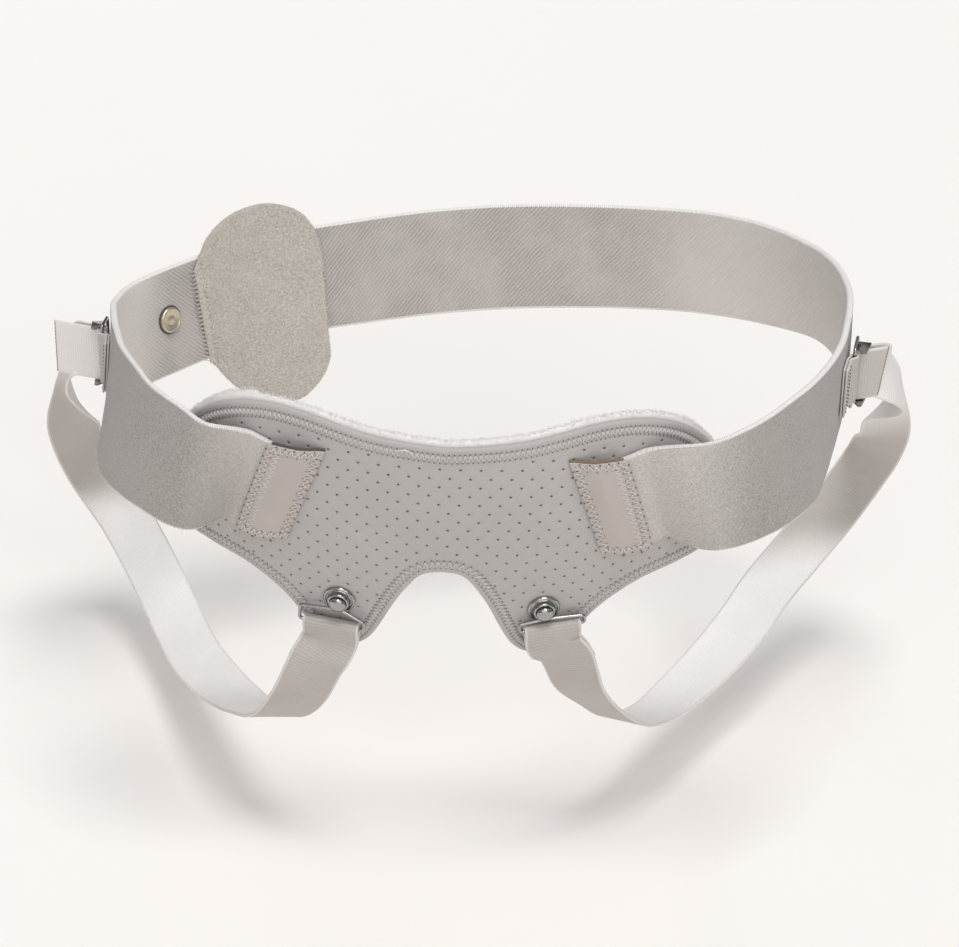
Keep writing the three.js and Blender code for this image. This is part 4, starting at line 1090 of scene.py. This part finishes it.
v = rng.uniform(0.03, 0.97, end_hairs)
roots = tab_place(np.full(end_hairs, felt_length - 0.5), v, rng.uniform(0, 0.9, end_hairs))
_, tangent, _, normal, _ = tab_band.axes(np.full(end_hairs, felt_length))
ways = tangent * 0.7 - normal * 0.7 + rng.normal(0, 0.4, roots.shape)
hairs("closure_edge_nap", roots, ways, rng.uniform(0.4, 0.9, end_hairs), 0.08, "fleece", "felt")


def seam_place(u, v, off):
    """The seam's own level: on the belt before the felt's edge, and on the felt after it."""
    low, high = tab_limits(np.clip(u, 0, None))
    felt = 2 * tab_half(np.clip(u, 0, None), np.clip(v, 0.02, 0.98))
    rise = np.where(u < 0, 0, felt_thick / 2 + felt / 2) - np.where(u < 0, clearance, 0)
    return tab_band.point(u, low + (high - low) * v, -(web_thick / 2 + clearance) - rise - off)


seam_low, seam_high = (0.9, 0.03), (0.9, 0.97)
seam = zigzag(seam_place, swung(seam_low, seam_high, (4.6, 0), 44), 0.0, 0.45)
stitches("closure_seam_thread", seam, 0.25, "cream", "felt")
u, v = swung(seam_low, seam_high, (5.6, 0), 44).T
spots = seam_place(u, v, 0.05)
ways = unit(seam_place(u, v, 1.05) - spots)
dots("closure_needle_holes", spots, ways, 0.22, "pit", "felt")

# Rivet: profiles as shares of its radius and height
rivet_rings = ((0, 0.125), (1, 0.125), (1, 0.4), (0.97, 0.75), (0.92, 0.95), (0.86, 1), (0.8, 0.95),
               (0.76, 0.8), (0.7, 0.76), (0.42, 0.76), (0.39, 0.66), (0.35, 0.66), (0.32, 0.75), (0, 0.77))
washer_rings = ((0, -0.0625), (1.07, -0.0625), (1.12, 0.0625), (1.08, 0.21875), (1.0, 0.25), (0, 0.1875))
_, _, _, normal, _ = left.axes(rivet_from_end)
foot = left.point([rivet_from_end], rivet_lift, -(web_thick / 2 + clearance))[0]
for name, rings, look, replaces in (("rivet_washer", washer_rings, "dark", None),
                                    ("rivet_head", rivet_rings, "brass", "belt_rivet")):
    profile = [(rivet_radius * 1.08 * out, rivet_height * up) for out, up in rings]
    piece(name, *turned(profile, 56, foot, -normal[0]), look, "rivet", replaces)


# Patches over the belts' ends
def patch_place(sign):
    spots = {name: corner(name, sign) for name in patch_corners}

    def place(s, t, off):
        top = spots["outer_top"] + np.outer(s, spots["inner_top"] - spots["outer_top"])
        bottom = spots["outer_bottom"] + np.outer(s, spots["inner_bottom"] - spots["outer_bottom"])
        at = bottom + (top - bottom) * np.reshape(t, (-1, 1))
        over = web_thick + 2.5 * clearance
        level = over + (clearance - over) * smooth((np.asarray(s) - patch_flat) / (patch_foot - patch_flat))
        return on_panel(at[:, 0], at[:, 1], level + patch_thick / 2 + off)[0]

    return place


def patch_inwards(s, t):
    """How far in from the patch's edge."""
    return np.minimum(np.minimum(s, 1 - s) * patch_wide, np.minimum(t, 1 - t) * patch_tall)


def patch_half(s, t):
    return patch_thick / 2 * soft_edge(patch_inwards(s, t), 0.8)


def patch_relief(s, t):
    """Sewn lines dip and the middle swells a little."""
    inwards = patch_inwards(s, t)
    return 0.12 * smooth((inwards - 3.4) / 3) - 0.26 * np.exp(-((inwards - patch_seam) ** 2))


def eased(length, count):
    """Shares of a length, closer together near both ends."""
    near = edge_steps / length
    return np.r_[near, np.linspace(near[-1], 1 - near[-1], count)[1:-1], 1 - near[::-1]]


for name, side in sides.items():
    place = patch_place(side["sign"])
    us, vs = eased(patch_wide, 58), eased(patch_tall, 92)
    points, faces, uvs = sheet_solid(place, us, vs, patch_half, patch_relief)
    uvs = uvs * [patch_wide, patch_tall]
    piece("patch_" + name, points, faces, "patch", "patch", "anchor_patch_" + name, uvs)
    top = patch_thick / 2 - 0.05
    a, b = patch_seam / patch_wide, patch_seam / patch_tall
    across, down = np.array([2.7 / patch_wide, 0]), np.array([0, b])
    runs = [((1 - a * 1.1, b), (1 - a * 1.1, 1 - b), across, 33), ((a, b), (a, 1 - b), across, 33),
            ((a * 2.6, b), (a * 2.6, 1 - b), across, 33), ((a, b), (1 - a, b), down, 15),
            ((a, 1 - b), (1 - a, 1 - b), down, 15)]
    rows = [arc for start, finish, swing, count in runs
            for arc in zigzag(place, swung(start, finish, swing, count), top, 0.27)]
    stitches("patch_thread_" + name, rows, 0.35, "cream", "patch")
    spots = [swung(start, finish, swing * 1.5, count * 2 // 3) for start, finish, swing, count in runs]
    u, v = np.vstack(spots).T
    foot = place(u, v, top)
    ways = unit(place(u, v, top + 1) - foot)
    dots("patch_needle_holes_" + name, foot, ways, 0.52, "pit", "patch")
    # A thin strip along each patch's top edge. On the right it is the webbing's brown raw edge with its
    # contact shade painted in. On the left it is a dark strip of painted shade where the belt's edge goes
    # under the patch.
    s = np.linspace(0.06, 0.98, 40)
    wander = 0.12 * np.sin(s * 37) + rng.normal(0, 0.05, len(s))
    strip = place(s, np.full(len(s), 1 + 0.5 / patch_tall), wander - 0.4)
    look = "raw" if name == "right" else "dark"
    wire("belt_raw_edge_" + name, strip, 0.5 + 0.15 * np.abs(np.sin(s * 50)), 8, look, "patch")

# Buckles, loops, leg straps, hooks and studs
for name, side in sides.items():
    band = bands[name]
    seat = buckle_seat(band, side["buckle_at"])
    axes = buckle_axes(seat)
    at, forward, outward, upward = axes
    hanging = hook_axes(side)
    hang, outer, lower, facing = hanging

    half = buckle_height / 2 + wire_radius
    ways = ((1, 1), (-1, 1), (-1, -1), (1, -1))
    corners = [(fore * buckle_reach, rise * half, buckle_corner) for fore, rise in ways]
    route = [at(x, wire_out, y) for x, y in rounded(corners)]
    wire("buckle_wire_" + name, route, wire_radius, 16, "chrome", "chrome", "buckle_frame_" + name, outward)

    end = tape_width / 2 + 2 * clearance + plate_thick
    ramp = [(0.75, 0), (0.97, 0.12), (1, 0.3)]
    heights = [(share, low - end) for share, low in ramp]
    heights += [(share, end - low) for share, low in reversed(ramp)]
    turns = np.linspace(0, 2 * math.pi, 20, endpoint=False)
    spoke = forward * np.cos(turns)[:, None] + outward * np.sin(turns)[:, None]
    rings = [at(0, cam_out, rise) + spoke * cam_radius * share for share, rise in heights]
    solids = [ring_solid(rings)]
    shape = [(-plate_rear, -plate_inner, 0.6), (plate_inner, -plate_inner, 1.2),
             (plate_front, plate_outer * 0.4, 0.5), (plate_front * 0.9, plate_outer * 0.68, 0.6),
             (-plate_rear, plate_outer, 0.7)]
    outline_points = rounded(shape)
    middle = outline_points.mean(0)
    for low in (-end, end - plate_thick):
        rings = []
        for share, rise in ((0.97, 0), (1, 0.12), (1, plate_thick - 0.12), (0.97, plate_thick)):
            grown = middle + (outline_points - middle) * share
            rings.append([at(x, cam_out + y, low + rise) for x, y in grown])
        solids.append(ring_solid(rings))
    piece("buckle_cam_" + name, *together(solids), "chrome", "chrome", "buckle_lever_" + name)

    loop = loop_band(seat, axes)
    band_piece("loop_tape_" + name, loop, (loop_width, loop_thick, 0.45, 13), 0.5, "loop", "tape",
               "buckle_loop_" + name)
    start = buckle_reach + 2.5 * (wire_radius + clearance + loop_thick / 2)
    over = 2 * (clearance + loop_thick)
    shift = side["buckle_at"] * band.length
    rows = []
    for fore in (2.4, 8.4):
        for low in np.arange(-10.8, 10, 1.8):
            ends = seat([start + fore] * 2, over, np.array([low, low + 1.15]))
            rows.append(arc_between(ends[0], ends[1], outward, 0.2, 0.15))
            ends = band.point([shift + start + fore] * 2, np.array([low, low + 1.15]), -web_thick / 2)
            rows.append(arc_between(ends[0], ends[1], -outward, 0.2, 0.15))
    stitches("loop_stitches_" + name, rows, 0.24, "dark", "tape")

    strap = leg_band(side, axes, hanging)
    reach = 0.7 * side["end_length"]
    lean = 0.7 * side["end_slant"]
    slant = lambda d, across: lean * np.clip(1 - d / reach, 0, 1) * (0.5 - across / tape_width)
    band_piece("leg_tape_" + name, strap, (tape_width, tape_thick, 0.7, 13), 0.7, "tape", "tape",
               "leg_strap_" + name, slant, 0.05)
    across = np.linspace(-tape_width / 2 + 0.4, tape_width / 2 - 0.4, 50)
    first = slant(np.zeros(len(across)), across) - 0.15
    line = strap.point(first, across, 0.1 * np.sin(across * 5))
    wire("strap_cut_edge_" + name, line, 0.42 + 0.08 * np.sin(across * 9), 7, "raw", "tape")
    rows = []
    for low in np.arange(-10.5, 10, 1.9):
        ends = strap.point([strap.length - 3.2] * 2, np.array([low, low + 1.2]), 0)
        face = strap.axes(strap.length - 3.2)[3][0]
        lift = face * np.sign(face.dot(facing)) * tape_thick / 2
        rows.append(arc_between(ends[0] - lift, ends[1] - lift, -facing, 0.15, 0.1))
    stitches("strap_stitches_" + name, rows, 0.2, "thread", "tape")

    long = bar_length / 2
    near, far, drop = side["bar_out"] - long, side["bar_out"] + long, side["bar_down"]
    turns = np.radians(np.arange(140, -141, -7))
    loop_points = np.stack([hook_loop * np.sin(turns), -hook_loop * np.cos(turns)], -1)
    shape = rounded([
        (-hook_loop * 0.5, hook_loop * 1.1, 0.5), (near, drop - 2.1 * fold_radius, 0.8),
        (near, drop, hook_corner), (far, drop, hook_corner), (far, hook_shoulder, hook_corner),
        (hook_loop * 0.75, hook_loop * 1.1, 1),
    ])
    route = [hang(x, y) for x, y in np.vstack([shape, loop_points])]
    wire("hook_wire_" + name, route, wire_radius, 16, "chrome", "chrome", "hook_" + name, facing)

    foot, normal = on_panel(side["sign"] * eyelet_out, -eyelet_down)
    low, high = eyelet_inner, eyelet_outer
    outer_part = [(high, clearance), (high + 0.02, 0.6), (high - 0.15, 1.1), (high - 0.5, 1.45),
                  (high - 0.85, 1.5), (high - 1.15, 1.25), (high - 1.35, 0.85)]
    inner_part = [(low + 0.65, 0.85), (low + 0.5, 1.2), (low + 0.3, 1.35), (low + 0.08, 1.2), (low, 0.85)]
    section = [(low, clearance)] + outer_part + inner_part
    piece("eyelet_ring_" + name, *turned(section, 64, foot, normal, True), "chrome", "chrome",
          "eyelet_" + name)
    angles = np.radians(np.linspace(0, 90, 10))
    dome = [(dome_radius * math.cos(a), neck + 0.5 + (dome_height - 0.5) * math.sin(a)) for a in angles]
    stud_profile = [(0, clearance), (post_radius, clearance), (post_radius, neck), (dome_radius * 0.93, neck),
                    (dome_radius, neck + 0.2)] + dome
    piece("stud_cap_" + name, *turned(stud_profile, 48, foot, normal), "chrome", "chrome", "stud_" + name)

# Floor, light and camera
floor_level = -186 * MM


def floor_look():
    look = Look("studio_floor", 0.9)
    return look.finish(look.mix(look.noise(3, 3), (246, 242, 238), (249, 245, 241)))


mesh = bpy.data.meshes.new("studio_floor")
far = 12
mesh.from_pydata([(-far, -far, floor_level), (far, -far, floor_level), (far, far, floor_level),
                  (-far, far, floor_level)], [], [(0, 1, 2, 3)])
mesh.materials.append(floor_look())
floor = bpy.data.objects.new("studio_floor", mesh)
bpy.context.scene.collection.objects.link(floor)

world = bpy.data.worlds.new("studio")
world.use_nodes = True
nodes, links = world.node_tree.nodes, world.node_tree.links
direction = nodes.new("ShaderNodeTexCoord")
split = nodes.new("ShaderNodeSeparateXYZ")
sky = nodes.new("ShaderNodeMapRange")
sky.interpolation_type = "SMOOTHSTEP"
for k, number in enumerate((0.05, 0.6, 0.1, 0.49)):
    sky.inputs[k + 1].default_value = number
links.new(direction.outputs["Generated"], split.inputs[0])
links.new(split.outputs["Z"], sky.inputs[0])
links.new(sky.outputs[0], nodes["Background"].inputs["Strength"])
nodes["Background"].inputs["Color"].default_value = (0.99, 0.99, 1.0, 1)
bpy.context.scene.world = world


def lamp(name, kind, energy, place, size, wide=None):
    """A lamp that looks at the belt. A sun's size is its angle in degrees, and a panel's is in metres."""
    data = bpy.data.lights.new(name, kind)
    data.energy = energy
    if kind == "SUN":
        data.angle = math.radians(size)
    else:
        data.shape = "RECTANGLE"
        data.size, data.size_y = size, wide
    made = bpy.data.objects.new(name, data)
    made.location = place
    made.rotation_mode = "QUATERNION"
    made.rotation_quaternion = (-Vector(place)).to_track_quat("-Z", "Y")
    bpy.context.scene.collection.objects.link(made)


lamp("overhead", "SUN", 1.32, (0.1, -0.2, 1), 24)
lamp("front_fill", "SUN", 1.0, (0.12, -1, 0.55), 60)
lamp("front_box", "AREA", 0.9, (0.8, -1.3, 1.0), 0.35, 0.3)
lamp("rear_box", "AREA", 0.8, (-0.8, 0.9, 1.0), 0.3, 0.25)

# The camera's focal length in picture widths, its distance, the point it looks at, its tilt and its roll
focal, distance, target = 4400 / 959, 1914, Vector((2.5, -88, 0))
tilt, roll = math.radians(30), math.radians(2.6)
camera_data = bpy.data.cameras.new("camera")
camera_data.sensor_width = 36
camera_data.lens = 36 * focal
camera_data.clip_start, camera_data.clip_end = 0.1, 60
camera = bpy.data.objects.new("camera", camera_data)
bpy.context.scene.collection.objects.link(camera)
back = Vector((0, -math.cos(tilt), math.sin(tilt)))
level = Vector((1, 0, 0))
above = back.cross(level)
rolled = level * math.cos(roll) + above * math.sin(roll)
above = above * math.cos(roll) - level * math.sin(roll)
turn = Matrix((rolled, above, back)).transposed().to_4x4()
camera.matrix_world = Matrix.Translation(target * MM + back * distance * MM) @ turn
bpy.context.scene.camera = camera
bpy.context.scene.view_settings.view_transform = "Standard"
